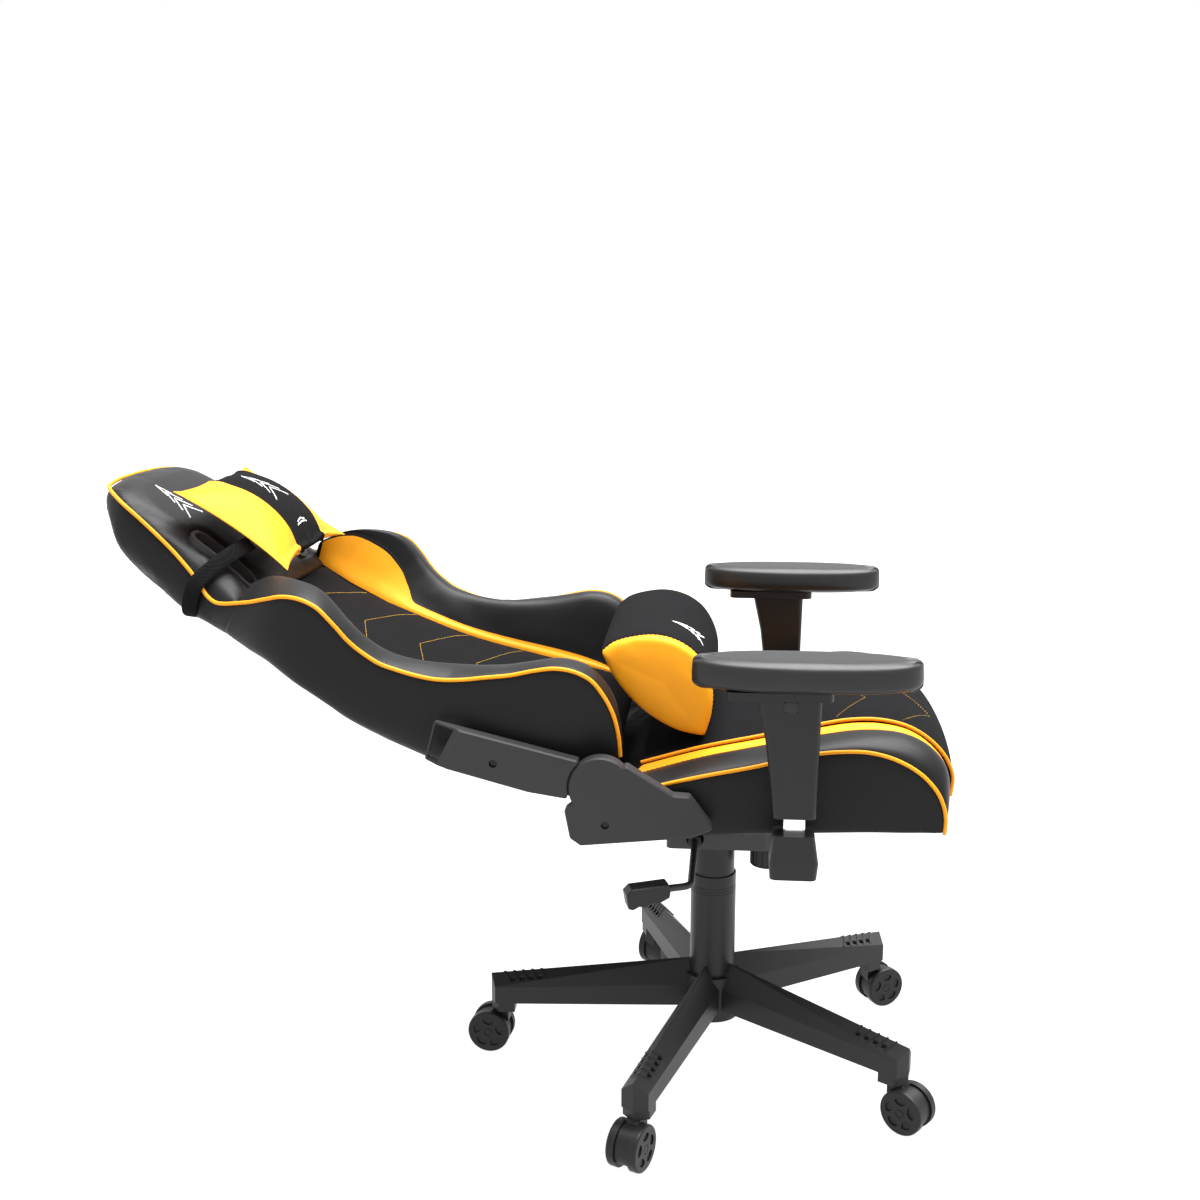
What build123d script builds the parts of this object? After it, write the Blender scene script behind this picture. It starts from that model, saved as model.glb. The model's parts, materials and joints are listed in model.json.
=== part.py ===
from build123d import *
import math
import os

# A reclining swivel chair with a high winged back, on a five-leg castor base.
# Millimetres. The origin is on the floor under the swivel axis, +X is the chair's front,
# +Y its left and +Z up. The back is stored laid down on its rearmost stop.

# ---- driving dimensions ----
leg_count = 5
first_leg_deg = 181.2
castor_circle_r = 300
castor_heading_deg = [174, 246, 324, 30, 60]

wheel_r = 30
wheel_thick = 11.5
wheel_inner_y = 9.6
castor_trail = 16
castor_axle_r = 4
castor_stem_r = 5.5
running_gap = 0.05

leg_end_z = 62
hub_r = 38
hub_bottom_z = 66
hub_top_z = 130
ridge_z_at_hub = 148.2
ridge_z_at_tip = 112.5
leg_half_width_hub = 21
leg_half_width_tip = 18

cover_lower_r = 31.5
cover_lower_top_z = 277
cover_upper_r = 29
cover_upper_top_z = 324
cover_wall = 1.6
gas_tube_r = 25
gas_tube_top_z = 258
gas_column_r = 14
piston_rod_r = 5

mech_bottom_z = 329
mech_top_z = 377
tilt_x = 38
tilt_z = 360
tilt_pin_r = 5
seat_plate_z = 402
knob_x = 75
lever_x = -25
lever_z = 344
lever_hole_r = 12

seat_half_width = 250
seat_seam_y = 165
seat_slope = 0.0542

pivot_x = -134
pivot_z = 484
back_angle_deg = 27.5
back_seam_y = 166
plate_y = 251
plate_thick = 4
cover_outer_y = 278
pivot_boss_r = 39
pivot_bush_r = 9

arm_x = 98
arm_y = 300
arm_post_half = (13, 7)
arm_plate_z = 611
arm_pad_top_z = 664

up = (0, 0, 1)
centre_low = (Align.CENTER, Align.CENTER, Align.MIN)
sin_back = math.sin(math.radians(back_angle_deg))
cos_back = math.cos(math.radians(back_angle_deg))

# The back's own frame: first axis up the back from the recline pivot, second axis out of its
# front, third axis to the chair's left.
back_plane = Plane(origin=(pivot_x, 0, pivot_z), x_dir=(-cos_back, 0, sin_back), z_dir=(0, 1, 0))
back_front = Vector(sin_back, 0, cos_back)


# ---- shared helpers ----
def smooth_outline(*runs):
    """A closed face from runs of points: a run of two is a line, a longer one a smooth curve."""
    edges = [Line(*run) if len(run) == 2 else Spline(*run) for run in runs]
    return make_face(edges)


def side_prism(face, y_low, y_high):
    """A face drawn in X, Z and carried across the chair from y_low to y_high."""
    plane = Plane(origin=(0, y_high, 0), x_dir=(1, 0, 0), z_dir=(0, -1, 0))
    return extrude(plane * face, amount=y_high - y_low, dir=(0, -1, 0))


def back_prism(face, y_low, y_high):
    """A face drawn in the back's frame and carried across the chair."""
    return extrude(back_plane.offset(y_low) * face, amount=y_high - y_low, dir=(0, 1, 0))


def back_plan_prism(face, v_low, v_high):
    """A face drawn in u, Y and carried through the back's thickness, from v_low to v_high."""
    low = back_plane.from_local_coords(Vector(0, v_low, 0))
    plane = Plane(origin=low, x_dir=(-cos_back, 0, sin_back), z_dir=-back_front)
    return extrude(plane * face, amount=v_high - v_low, dir=back_front)


def polygon(*points):
    """A straight-sided face, its points taken anticlockwise whichever way they are listed."""
    following = points[1:] + points[:1]
    doubled_area = sum(a[0] * b[1] - b[0] * a[1] for a, b in zip(points, following))
    ordered = points if doubled_area > 0 else points[::-1]
    return Polygon(*ordered, align=None)


def rounded_polygon(radius, *points):
    face = polygon(*points)
    return fillet(face.vertices(), radius)


def rod(start, end, radius):
    """A round bar between two points."""
    start = Vector(*start)
    end = Vector(*end)
    plane = Plane(origin=start, z_dir=end - start)
    return extrude(plane * Circle(radius), amount=(end - start).length)


def ring(outer_r, inner_r, z_low, z_high):
    face = Circle(outer_r) - Circle(inner_r)
    return Pos(0, 0, z_low) * extrude(face, amount=z_high - z_low, dir=up)


def cross_ring(outer_r, inner_r, x, z, y_low, y_high):
    """A ring whose axis runs across the chair."""
    face = Pos(x, z) * (Circle(outer_r) - Circle(inner_r))
    return side_prism(face, y_low, y_high)


def both_sides(solid):
    """The piece on the chair's left and its mirror image on the right."""
    return [solid, mirror(solid, about=Plane.XZ)]


def seat_bottom_z(x):
    """The seat's underside rises gently to the front."""
    return 416 + (x + 14) * seat_slope


parts = {}


def add(name, *solids):
    parts[name] = list(solids)


# ---- star base ----
def leg_corners(x, half_width, bottom_z, ridge_z, drop):
    """The five corners of a leg's house-shaped cross-section."""
    eaves_z = ridge_z - drop
    return [
        (x, -half_width, bottom_z),
        (x, half_width, bottom_z),
        (x, half_width, eaves_z),
        (x, 0, ridge_z),
        (x, -half_width, eaves_z),
    ]


def flat_face(*corners):
    return Face(Wire.make_polygon([Vector(*corner) for corner in corners], close=True))


def leg_beam():
    """A tapering gabled beam along +X, each roof slope made of two flat facets."""
    inner = leg_corners(18, leg_half_width_hub, 83.5, ridge_z_at_hub, 33)
    outer = leg_corners(320, leg_half_width_tip, 74, ridge_z_at_tip, 15)
    faces = [flat_face(*inner), flat_face(*outer)]
    for side in (4, 0, 1):
        following = (side + 1) % 5
        faces.append(flat_face(inner[side], inner[following], outer[following], outer[side]))
    for eaves, ridge in ((2, 3), (4, 3)):
        faces.append(flat_face(inner[eaves], inner[ridge], outer[eaves]))
        faces.append(flat_face(inner[ridge], outer[ridge], outer[eaves]))
    return Solid(Shell(faces))


def star_leg():
    """One leg along +X: a gabled beam with a pointed end that drops to the castor."""
    nose = polygon((0, -30), (303, -30), (315, 0), (303, 30), (0, 30))
    beam = Part() + leg_beam() & extrude(nose, amount=200, dir=up)
    foot = polygon((280, -18), (303, -18), (315, 0), (303, 18), (280, 18))
    leg = beam + Pos(0, 0, leg_end_z) * extrude(foot, amount=34, dir=up)
    for bay in range(5):
        pocket = Box(38, 27, 30, align=centre_low)
        leg -= Pos(72 + 43 * bay, 0, 66) * pocket
    for slot in range(4):
        x = 244 + 13 * slot
        roof_z = ridge_z_at_tip + (320 - x) * 0.118 - 8
        for side in (-1, 1):
            leg -= Pos(x, side * 9.5, roof_z - 3) * Box(7, 5, 14, align=centre_low)
    leg -= Pos(castor_circle_r, 0, leg_end_z) * Cylinder(
        castor_stem_r + running_gap, 26, align=centre_low
    )
    return leg


def leg_angle(index):
    return first_leg_deg + index * 360 / leg_count


def make_star_base():
    base = Pos(0, 0, hub_bottom_z) * Cylinder(hub_r, hub_top_z - hub_bottom_z, align=centre_low)
    leg = star_leg()
    for index in range(leg_count):
        base += Rot(0, 0, leg_angle(index)) * leg
    base -= Pos(0, 0, hub_bottom_z) * Cylinder(gas_tube_r, 100, align=centre_low)
    base -= Pos(0, 0, hub_top_z) * Cylinder(cover_lower_r + 0.4, 40, align=centre_low)
    add("star_base", *base.solids())


# ---- castors ----
def make_castor_fork():
    """The moulded housing between the wheels, and the steel stem pressed into it."""
    block = polygon((-11, 61.4), (-11, 46), (-7, 30), (5, 16), (18, 14), (30, 30), (11, 61.4))
    drum = Pos(castor_trail, wheel_r) * Circle(27)
    face = (drum + block) - Pos(castor_trail, 0) * Rectangle(80, 2 * 14)
    housing = side_prism(face, -9, 9)
    boss = Pos(0, 0, 46) * Cylinder(9.2, 15.4, align=centre_low)
    housing = housing + boss
    housing -= side_prism(Pos(castor_trail, wheel_r) * Circle(castor_axle_r + running_gap), -9, 9)
    housing -= Pos(0, 0, 44) * Cylinder(castor_stem_r, 20, align=centre_low)
    stem = Pos(0, 0, 44) * Cylinder(castor_stem_r, 38, align=centre_low)
    return [*housing.solids(), stem]


def make_castor_wheel():
    """The wheel on the housing's left, with five petal recesses round its cap."""
    outer_y = wheel_inner_y + wheel_thick
    wheel = side_prism(Pos(castor_trail, wheel_r) * Circle(wheel_r), wheel_inner_y, outer_y)
    rim = wheel.edges().filter_by(GeomType.CIRCLE).sort_by(Axis.Y)
    wheel = fillet(rim[-1:], 3)
    petal = (Pos(20.5, 0) * Circle(9)) & (Pos(13, 0) * Circle(9))
    hub_groove = Circle(6) - Circle(5)
    face = Sketch() + [Rot(0, 0, 90 + 72 * turn) * petal for turn in range(5)]
    centre = Pos(castor_trail, wheel_r)
    wheel -= side_prism(centre * face, outer_y - 2, outer_y + 1)
    wheel -= side_prism(centre * hub_groove, outer_y - 0.8, outer_y + 1)
    wheel -= side_prism(centre * Circle(castor_axle_r), wheel_inner_y - 1, outer_y - 3)
    return wheel


def make_castors():
    fork = make_castor_fork()
    wheel = make_castor_wheel()
    axle_end = wheel_inner_y + wheel_thick - 3
    axle = side_prism(Pos(castor_trail, wheel_r) * Circle(castor_axle_r), -axle_end, axle_end)
    wheel_set = [*wheel.solids(), *mirror(wheel, about=Plane.XZ).solids(), *axle.solids()]
    for index in range(leg_count):
        angle = math.radians(leg_angle(index))
        stem = Pos(castor_circle_r * math.cos(angle), castor_circle_r * math.sin(angle), 0)
        place = stem * Rot(0, 0, castor_heading_deg[index])
        add(f"castor_{index + 1}_fork", *[place * solid for solid in fork])
        add(f"castor_{index + 1}_wheels", *[place * solid for solid in wheel_set])


# ---- gas lift and its covers ----
def make_gas_lift():
    tube = ring(gas_tube_r, gas_tube_r - 1.5, 68, gas_tube_top_z)
    tube += ring(gas_tube_r - 0.5, piston_rod_r + 2, 68, 72)
    add("gas_outer_tube", tube)
    add("guide_bush", ring(gas_tube_r - 1.5, gas_column_r + running_gap, 188, gas_tube_top_z - 2))
    add("thrust_bearing", ring(15, piston_rod_r + 2.5, 72, 80))
    piston = Pos(0, 0, 70) * Cylinder(piston_rod_r, 220, align=centre_low)
    piston += Pos(0, 0, 80.1) * Cylinder(14, 4, align=centre_low)
    add("piston_rod", piston)
    column = Pos(0, 0, 154) * Cylinder(gas_column_r, mech_top_z - 154, align=centre_low)
    column -= Pos(0, 0, 154) * Cylinder(piston_rod_r + running_gap, 191, align=centre_low)
    add("gas_column", column)


def make_column_covers():
    lower = ring(cover_lower_r, cover_lower_r - cover_wall, hub_top_z, cover_lower_top_z)
    for groove_z in (252, 256, 260):
        lower -= ring(cover_lower_r + 1, cover_lower_r - 0.5, groove_z, groove_z + 1)
    lower += ring(cover_lower_r, gas_tube_r + 0.4, hub_top_z, hub_top_z + 3)
    add("column_cover_lower", lower)
    upper = ring(cover_upper_r, cover_upper_r - cover_wall, 187, cover_upper_top_z)
    upper += ring(cover_upper_r, gas_column_r, cover_upper_top_z - 12, cover_upper_top_z - 9)
    add("column_cover_upper", upper)


# ---- tilt mechanism ----
def make_mechanism():
    height = mech_top_z - mech_bottom_z
    outer = rounded_polygon(9, (-64, -58), (70, -58), (112, -34), (112, 34), (70, 58), (-64, 58))
    inner = offset(outer, amount=-3)
    tray = Pos(0, 0, mech_bottom_z) * extrude(outer, amount=height, dir=up)
    tray -= Pos(0, 0, mech_bottom_z + 4) * extrude(inner, amount=height, dir=up)
    tray += Pos(0, 0, mech_bottom_z) * Cylinder(22, height - 2, align=centre_low)
    for side in (-1, 1):
        tray += Pos(tilt_x, side * 50.5, tilt_z) * Rot(90, 0, 0) * Cylinder(11, 12)
    tray -= Pos(0, 0, mech_bottom_z) * Cylinder(gas_column_r, 60, align=centre_low)
    tray -= rod((tilt_x, -70, tilt_z), (tilt_x, 70, tilt_z), tilt_pin_r)
    tray -= Pos(knob_x, 0, mech_bottom_z) * Cylinder(4.2, 10, align=centre_low)
    tray -= rod((lever_x, -70, lever_z), (lever_x, -40, lever_z), lever_hole_r)
    add("mechanism_housing", *tray.solids())
    add("tilt_pin", rod((tilt_x, -70, tilt_z), (tilt_x, 70, tilt_z), tilt_pin_r))
    spring = Pos(knob_x, 0, mech_bottom_z + 4.2) * extrude(Circle(15) - Circle(10), amount=36, dir=up)
    add("tension_spring", spring)


def make_tension_knob():
    knob = Cylinder(25, 38, align=centre_low)
    rim = knob.edges().filter_by(GeomType.CIRCLE)
    knob = fillet(rim, 3)
    for rib in range(16):
        flute = Pos(26.5, 0, 4) * Cylinder(2.6, 24, align=centre_low)
        knob -= Rot(0, 0, rib * 360 / 16) * flute
    knob -= Pos(0, 0, 8) * Cylinder(4, 40, align=centre_low)
    add("tension_knob", Pos(knob_x, 0, 290) * knob)
    bolt = Pos(knob_x, 0, 298) * Cylinder(4, 72, align=centre_low)
    nut = Pos(knob_x, 0, 366.3) * extrude(RegularPolygon(7, 6), amount=6, dir=up)
    add("tension_bolt", bolt + nut)


def make_lever():
    """The seat-height lever: a steel rod out to the right, bent back to a finger paddle."""
    cam = rod((lever_x, -72, lever_z), (lever_x, -46, lever_z), 9)
    cam -= rod((lever_x, -75, lever_z), (lever_x, -30, lever_z), 4.55)
    add("lever_cam", cam)
    route = FilletPolyline(
        (lever_x, -40, lever_z),
        (lever_x, -226, lever_z),
        (lever_x - 60, -243, lever_z - 3),
        radius=14,
    )
    section = Plane(origin=(lever_x, -40, lever_z), z_dir=(0, -1, 0)) * Circle(4.5)
    add("lever_rod", sweep(section, path=route))
    grip = polygon(
        (-50, 349), (-54, 354), (-100, 351), (-107, 344), (-104, 326),
        (-98, 324), (-90, 328), (-82, 326), (-74, 331), (-66, 330), (-52, 337),
    )
    grip = fillet(grip.vertices(), 1.6)
    paddle = side_prism(grip, -12, 12)
    faces = paddle.faces().sort_by(Axis.Y)
    paddle = chamfer(faces[0].edges() + faces[-1].edges(), 1.2)
    turn = Pos(-78, 0, 0) * Rot(0, 0, 16) * Pos(78, 0, 0)
    paddle = Pos(0, -247, 0) * turn * paddle
    tip = Vector(lever_x - 60, -243, lever_z - 3)
    along = (tip - Vector(lever_x, -226, lever_z)).normalized()
    hole_start = tip - along * 44
    paddle -= rod(tuple(hole_start), tuple(tip), 4.5)
    add("lever_paddle", *paddle.solids())


# ---- seat ----
def make_seat_structure():
    plate = Pos(20, 0, seat_plate_z) * extrude(RectangleRounded(230, 190, 14), amount=4, dir=up)
    for side in (-1, 1):
        ear = rounded_polygon(3, (8, seat_plate_z + 2), (68, seat_plate_z + 2), (52, 348), (24, 348))
        y_low = 62 if side > 0 else -66
        plate += side_prism(ear, y_low, y_low + 4)
    plate -= rod((tilt_x, -72, tilt_z), (tilt_x, 72, tilt_z), tilt_pin_r + running_gap)
    add("seat_plate", *plate.solids())
    top_z = seat_plate_z + 4
    rail = polygon((-92, top_z), (128, top_z), (128, seat_bottom_z(128)), (-92, seat_bottom_z(-92)))
    add("seat_rails", *both_sides(side_prism(rail, 62, 92)))
    board = polygon(
        (-150, seat_bottom_z(-150)),
        (262, seat_bottom_z(262)),
        (262, seat_bottom_z(262) + 12),
        (-150, seat_bottom_z(-150) + 12),
    )
    add("seat_board", side_prism(board, -232, 232))
    bolts = []
    for x in (-80, 110):
        for y in (-77, 77):
            head = Pos(x, y, seat_plate_z - 5.3) * extrude(RegularPolygon(6.5, 6), amount=5.3, dir=up)
            bolts.append(head)
    for side in (-1, 1):
        bolts.append(rod((-128, side * 270, 438), (-128, side * 274, 438), 4.4))
    add("seat_screws", *bolts)


def make_seat_cushions():
    low_rear = (-150, seat_bottom_z(-150) + 12)
    low_front = (278, seat_bottom_z(278) + 12)
    front_low = (304, 462)
    hinge_room = Pos(pivot_x, pivot_z) * Circle(41)
    centre = smooth_outline(
        [low_rear, low_front],
        [low_front, (300, 450), front_low],
        [front_low, (307, 480), (298, 508), (276, 535), (240, 549), (190, 553), (132, 542),
         (58, 524), (-17, 505), (-92, 484)],
        [(-92, 484), low_rear],
    )
    add("seat_cushion", side_prism(centre - hinge_room, -seat_seam_y, seat_seam_y))
    board_front = (262, seat_bottom_z(262) + 12)
    side_front = (262, seat_bottom_z(262))
    bolster = smooth_outline(
        [low_rear, board_front],
        [board_front, side_front],
        [side_front, (280, 436), (288, 455)],
        [(288, 455), (291, 485), (284, 518), (262, 540), (225, 549), (180, 550), (132, 541),
         (58, 522), (-17, 501), (-50, 490), (-75, 479), (-92, 468)],
        [(-92, 468), low_rear],
    )
    solid = side_prism(bolster - hinge_room, seat_seam_y, seat_half_width)
    skirt = polygon(
        (-150, seat_bottom_z(-150)), side_front, board_front, low_rear,
    )
    solid += side_prism(skirt, 232, seat_half_width)
    add("seat_bolsters", *both_sides(solid))


# ---- recline hinge ----
cover_lower_outline = [
    (-178, 456), (-171, 420), (-158, 411), (-24, 425), (4, 437), (-26, 477), (-46, 478), (-103, 514),
]
cover_upper_outline = [
    (29.9, -31.4), (38.8, 18.2), (215.6, -25.4), (204.6, -72.7), (173.8, -69), (74.8, -46.8),
]


def hollow_cover(outline, carry, wall=2.5):
    """A shallow plastic lid: a chamfered outer face and an open pocket towards the seat."""
    lid = carry(outline, plate_y + 2 * plate_thick + 1.5, cover_outer_y)
    face = lid.faces().sort_by(Axis.Y)[-1]
    lid = chamfer(face.edges(), 1.8)
    pocket = carry(offset(outline, amount=-wall), plate_y + 2 * plate_thick, cover_outer_y - wall)
    return lid - pocket


def make_recline_hinge():
    pivot = Pos(pivot_x, pivot_z)
    low = rounded_polygon(5, *cover_lower_outline) + pivot * Circle(pivot_boss_r)
    lower_cover = hollow_cover(low, side_prism)
    lower_cover -= side_prism(Pos(-128, 438) * Circle(5), cover_outer_y - 5, cover_outer_y + 1)
    shaft_hole = side_prism(pivot * Circle(5.4), cover_outer_y - 8, cover_outer_y + 1)
    add("recline_covers_lower", lower_cover - shaft_hole, mirror(lower_cover, about=Plane.XZ))
    high = polygon(*cover_upper_outline) - Circle(pivot_boss_r + 1)
    high = fillet(high.vertices(), 3)
    upper_cover = hollow_cover(high, back_prism)
    upper_cover -= back_prism(Pos(128.3, -35.2) * Circle(5), cover_outer_y - 5, cover_outer_y + 1)
    wedge = polygon((178, cover_outer_y + 1), (222, cover_outer_y + 1), (222, plate_y + 14))
    upper_cover -= back_plan_prism(wedge, -90, 10)
    add("recline_covers_upper", *both_sides(upper_cover.solids().sort_by(SortBy.VOLUME)[-1]))

    low_plate = polygon((-165, 424), (-30, 431), (-60, 466), (-108, 508))
    low_plate = fillet(low_plate.vertices(), 6) + pivot * Circle(30)
    low_plate -= pivot * Circle(pivot_bush_r)
    plates = side_prism(low_plate, plate_y, plate_y + plate_thick)
    add("recline_plates_lower", *both_sides(plates))
    high_plate = polygon((0, -26), (0, 20), (60, 6), (190, -30), (190, -58), (70, -42))
    high_plate = (fillet(high_plate.vertices(), 5) + Circle(30)) - Circle(pivot_bush_r + running_gap)
    y_low = plate_y + plate_thick + 0.3
    plates = back_prism(high_plate, y_low, y_low + plate_thick)
    add("recline_plates_upper", *both_sides(plates))
    bush = cross_ring(pivot_bush_r, 5.05, pivot_x, pivot_z, plate_y, plate_y + 2 * plate_thick + 2)
    bush += cross_ring(14, 5.05, pivot_x, pivot_z, plate_y + 9, plate_y + 12)
    add("pivot_bushes", *both_sides(bush))
    bolt = rod((pivot_x, -252, pivot_z), (pivot_x, -266, pivot_z), 5)
    bolt += rod((pivot_x, -263.2, pivot_z), (pivot_x, -268, pivot_z), 8.5)
    add("pivot_bolt", bolt)
    screws = []
    for side in (-1, 1):
        centre = back_plane.from_local_coords(Vector(128.3, -35.2, 0))
        screws.append(rod((centre.X, side * 270, centre.Z), (centre.X, side * 274, centre.Z), 4.4))
    add("back_cover_screws", *screws)


def make_recline_handle():
    """A flat lever on the left of the pivot, pulled up to free the back."""
    hub = Pos(pivot_x, pivot_z) * Circle(17)
    arm = rounded_polygon(6, (-140, 474), (-60, 470), (-34, 458), (-30, 470), (-58, 488), (-140, 496))
    handle = side_prism(hub + arm, cover_outer_y + 0.6, cover_outer_y + 13)
    face = handle.faces().sort_by(Axis.Y)[-1]
    handle = chamfer(face.edges(), 1.5)
    handle -= side_prism(Pos(pivot_x, pivot_z) * Circle(5), cover_outer_y, cover_outer_y + 9)
    add("recline_handle", handle)
    add("recline_shaft", rod((pivot_x, plate_y + 1, pivot_z), (pivot_x, cover_outer_y + 9, pivot_z), 5))


# ---- backrest ----
def half_plan():
    """The back's outline seen from the front, from the pivot line to the crown."""
    side = [(-8, 228), (60, 243), (150, 243), (240, 240), (330, 252), (400, 262), (455, 246),
            (505, 205), (545, 178), (600, 163), (660, 155), (700, 148), (735, 118), (750, 60), (753, 0)]
    mirrored = [(u, -y) for u, y in reversed(side)]
    return smooth_outline(side, mirrored, [mirrored[-1], side[0]])


def make_back_soft_parts():
    plan = back_plan_prism(half_plan(), -110, 130)
    centre = smooth_outline(
        [(0, 30), (55, 17), (144, -6), (250, -30), (339, -41), (400, -49), (439, -51), (470, -46)],
        [(470, -46), (470, -73)],
        [(470, -73), (380, -77), (305, -89), (234, -91), (150, -80), (60, -58), (0, -36)],
        [(0, -36), (0, 30)],
    )
    add("back_cushion", back_prism(centre, -back_seam_y, back_seam_y))
    wing = smooth_outline(
        [(-6, -30), (-8, 34)],
        [(-8, 34), (12, 69), (50, 99), (85, 107), (112, 99), (140, 77), (170, 50), (212, 27),
         (262, 15), (300, 15), (345, 33), (383, 43), (425, 32), (470, 6), (500, -20)],
        [(500, -20), (500, -79)],
        [(500, -79), (459, -71), (380, -77), (305, -90), (234, -91), (150, -80), (60, -58),
         (-6, -30)],
    )
    wing = back_prism(wing, back_seam_y, 290) & plan
    add("back_wings", *both_sides(wing))
    head = smooth_outline(
        [(470, -46), (500, -36), (530, -24), (568, -14), (602, -8), (644, -1), (692, 6), (718, 8),
         (740, 0), (753, -15)],
        [(753, -15), (744, -24), (715, -42), (688, -62), (640, -78), (577, -89), (525, -83), (470, -73)],
        [(470, -73), (470, -46)],
    )
    head = back_prism(head, -230, 230) & plan
    shoulder = smooth_outline(
        [(470, -100), (500, -100)],
        [(500, -100), (500, 40)],
        [(500, 40), (470, 40)],
        [(470, 40), (470, -100)],
    )
    for side in (-1, 1):
        y_low = back_seam_y if side > 0 else -290
        head -= back_prism(shoulder, y_low, y_low + 140)
        head -= back_plan_prism(Pos(562, side * 118) * RectangleRounded(104, 42, 16), -120, 60)
    add("back_head", *head.solids())


def make_belt_slots():
    """Moulded liners round the two belt slots, each proud of the leather at the front."""
    outer = RectangleRounded(104, 42, 16)
    inner = RectangleRounded(94, 32, 12)
    depth = polygon((500, -89), (500, -33), (530, -20), (568, -10), (602, -4), (630, 0), (630, -89))
    liner = back_plan_prism(Pos(562, 118) * (outer - inner), -100, 20)
    liner &= back_prism(depth, 90, 150)
    add("belt_slot_liners", *both_sides(liner))


def make_back_frame():
    """The welded tube frame inside the foam: a necked hoop and three cross tubes."""
    side = [(40, -30, 190), (230, -58, 190), (415, -60, 190), (492, -58, 72), (700, -24, 72)]
    corners = [(u, v, -y) for u, v, y in side] + side[::-1]
    world = [back_plane.from_local_coords(Vector(*corner)) for corner in corners]
    hoop = FilletPolyline(*world, radius=30)
    section = Plane(origin=world[0], z_dir=world[1] - world[0]) * Circle(9)
    frame = sweep(section, path=hoop)
    for u, v in ((60, -33), (250, -58), (400, -60)):
        ends = [back_plane.from_local_coords(Vector(u, v, y)) for y in (-188, 188)]
        frame += rod(tuple(ends[0]), tuple(ends[1]), 8)
    add("back_frame", *frame.solids())


# ---- pillows ----
def make_pillows():
    lumbar = smooth_outline(
        [(-90, 83), (-37, 73), (18, 84), (72, 118)],
        [(72, 118), (54, 151), (24, 178), (-24, 180), (-72, 153), (-90, 83)],
    )
    add("lumbar_pillow", back_prism(lumbar, -162, 162))
    head = smooth_outline(
        [(476, -14), (540, -5), (600, 7), (661, 24)],
        [(661, 24), (640, 48), (600, 67), (545, 64), (500, 36), (476, -14)],
    )
    add("head_pillow", back_prism(head, -148, 148))


def make_head_strap():
    """The elastic band from the head pillow's ends round the back of the head."""
    band = polygon(
        (554, -182), (582, -182), (582, 182), (554, 182),
    )
    outer = back_plan_prism(band, -93, 6)
    inner = back_plan_prism(polygon((540, -180), (600, -180), (600, 180), (540, 180)), -91, 40)
    add("head_strap", *(outer - inner).solids())


# ---- armrests ----
def tapered_sleeve(sections, shift_y=0):
    """A straight-sided sleeve through rounded rectangles, each (z, x_low, x_high, half_y)."""
    faces = []
    for z, x_low, x_high, half_y in sections:
        centre = Pos((x_low + x_high) / 2, shift_y, z)
        faces.append(centre * RectangleRounded(x_high - x_low, 2 * half_y, 8))
    return loft(faces, ruled=True)


def make_armrest_supports():
    half_x, half_y = arm_post_half
    post = Pos(arm_x, arm_y, 404) * extrude(
        RectangleRounded(2 * half_x, 2 * half_y, 4), amount=192, dir=up
    )
    add("armrest_posts", *both_sides(post))
    bracket = polygon(
        (130, 414.5), (246, 414.5), (246, 404), (arm_y + 12, 404), (arm_y + 12, 398), (240, 398),
        (240, 408.5), (130, 408.5),
    )
    bracket_plane = Plane(origin=(arm_x - 22, 0, 0), x_dir=(0, 1, 0), z_dir=(1, 0, 0))
    bracket = extrude(bracket_plane * bracket, amount=44)
    add("armrest_brackets", *both_sides(bracket))
    boot = tapered_sleeve([(393, 70, 125, 22), (412, 69, 127, 23), (446, 73, 122, 19)], arm_y)
    boot -= Pos(arm_x, arm_y, 404) * extrude(
        RectangleRounded(2 * half_x, 2 * half_y, 4), amount=192, dir=up
    )
    boot -= bracket
    add("armrest_boots", *both_sides(boot))


def make_armrest(side_name, place):
    """One armrest: everything that rises on the post."""
    half_x, half_y = arm_post_half
    sleeve = tapered_sleeve([(467, 73, 123, 18), (560, 62, 125, 20), (arm_plate_z, 51, 126, 22)], arm_y)
    sleeve -= Pos(arm_x, arm_y, 460) * extrude(
        RectangleRounded(2 * half_x + 0.12, 2 * half_y + 0.12, 4.06), amount=140, dir=up
    )
    sleeve -= Pos(arm_x - 8, arm_y + 12, 597) * Box(16.4, 20, 12.4, align=centre_low)
    add(f"armrest_sleeve_{side_name}", place(*sleeve.solids())[0])
    button = Pos(arm_x - 8, arm_y + 15.5, 597.2) * Box(16, 13.5, 12, align=centre_low)
    button = fillet(button.edges().filter_by(Axis.Y), 2.5)
    add(f"armrest_button_{side_name}", place(button)[0])
    plate = Pos(77, arm_y, arm_plate_z) * extrude(RectangleRounded(124, 54, 10), amount=10, dir=up)
    add(f"armrest_plate_{side_name}", place(plate)[0])
    outline = smooth_outline(
        [(-22, -22), (-18, -36), (30, -42), (120, -43), (190, -38), (232, -20)],
        [(232, -20), (241, 0), (232, 22)],
        [(232, 22), (190, 40), (120, 43), (30, 38), (-16, 27), (-24, 2), (-22, -22)],
    )
    pad = Pos(0, arm_y, arm_plate_z + 10) * extrude(outline, amount=arm_pad_top_z - 621, dir=up)
    top = pad.faces().sort_by(Axis.Z)[-1]
    bottom = pad.faces().sort_by(Axis.Z)[0]
    pad = chamfer(top.edges() + bottom.edges(), 8)
    add(f"armrest_pad_{side_name}", place(pad)[0])


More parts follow.
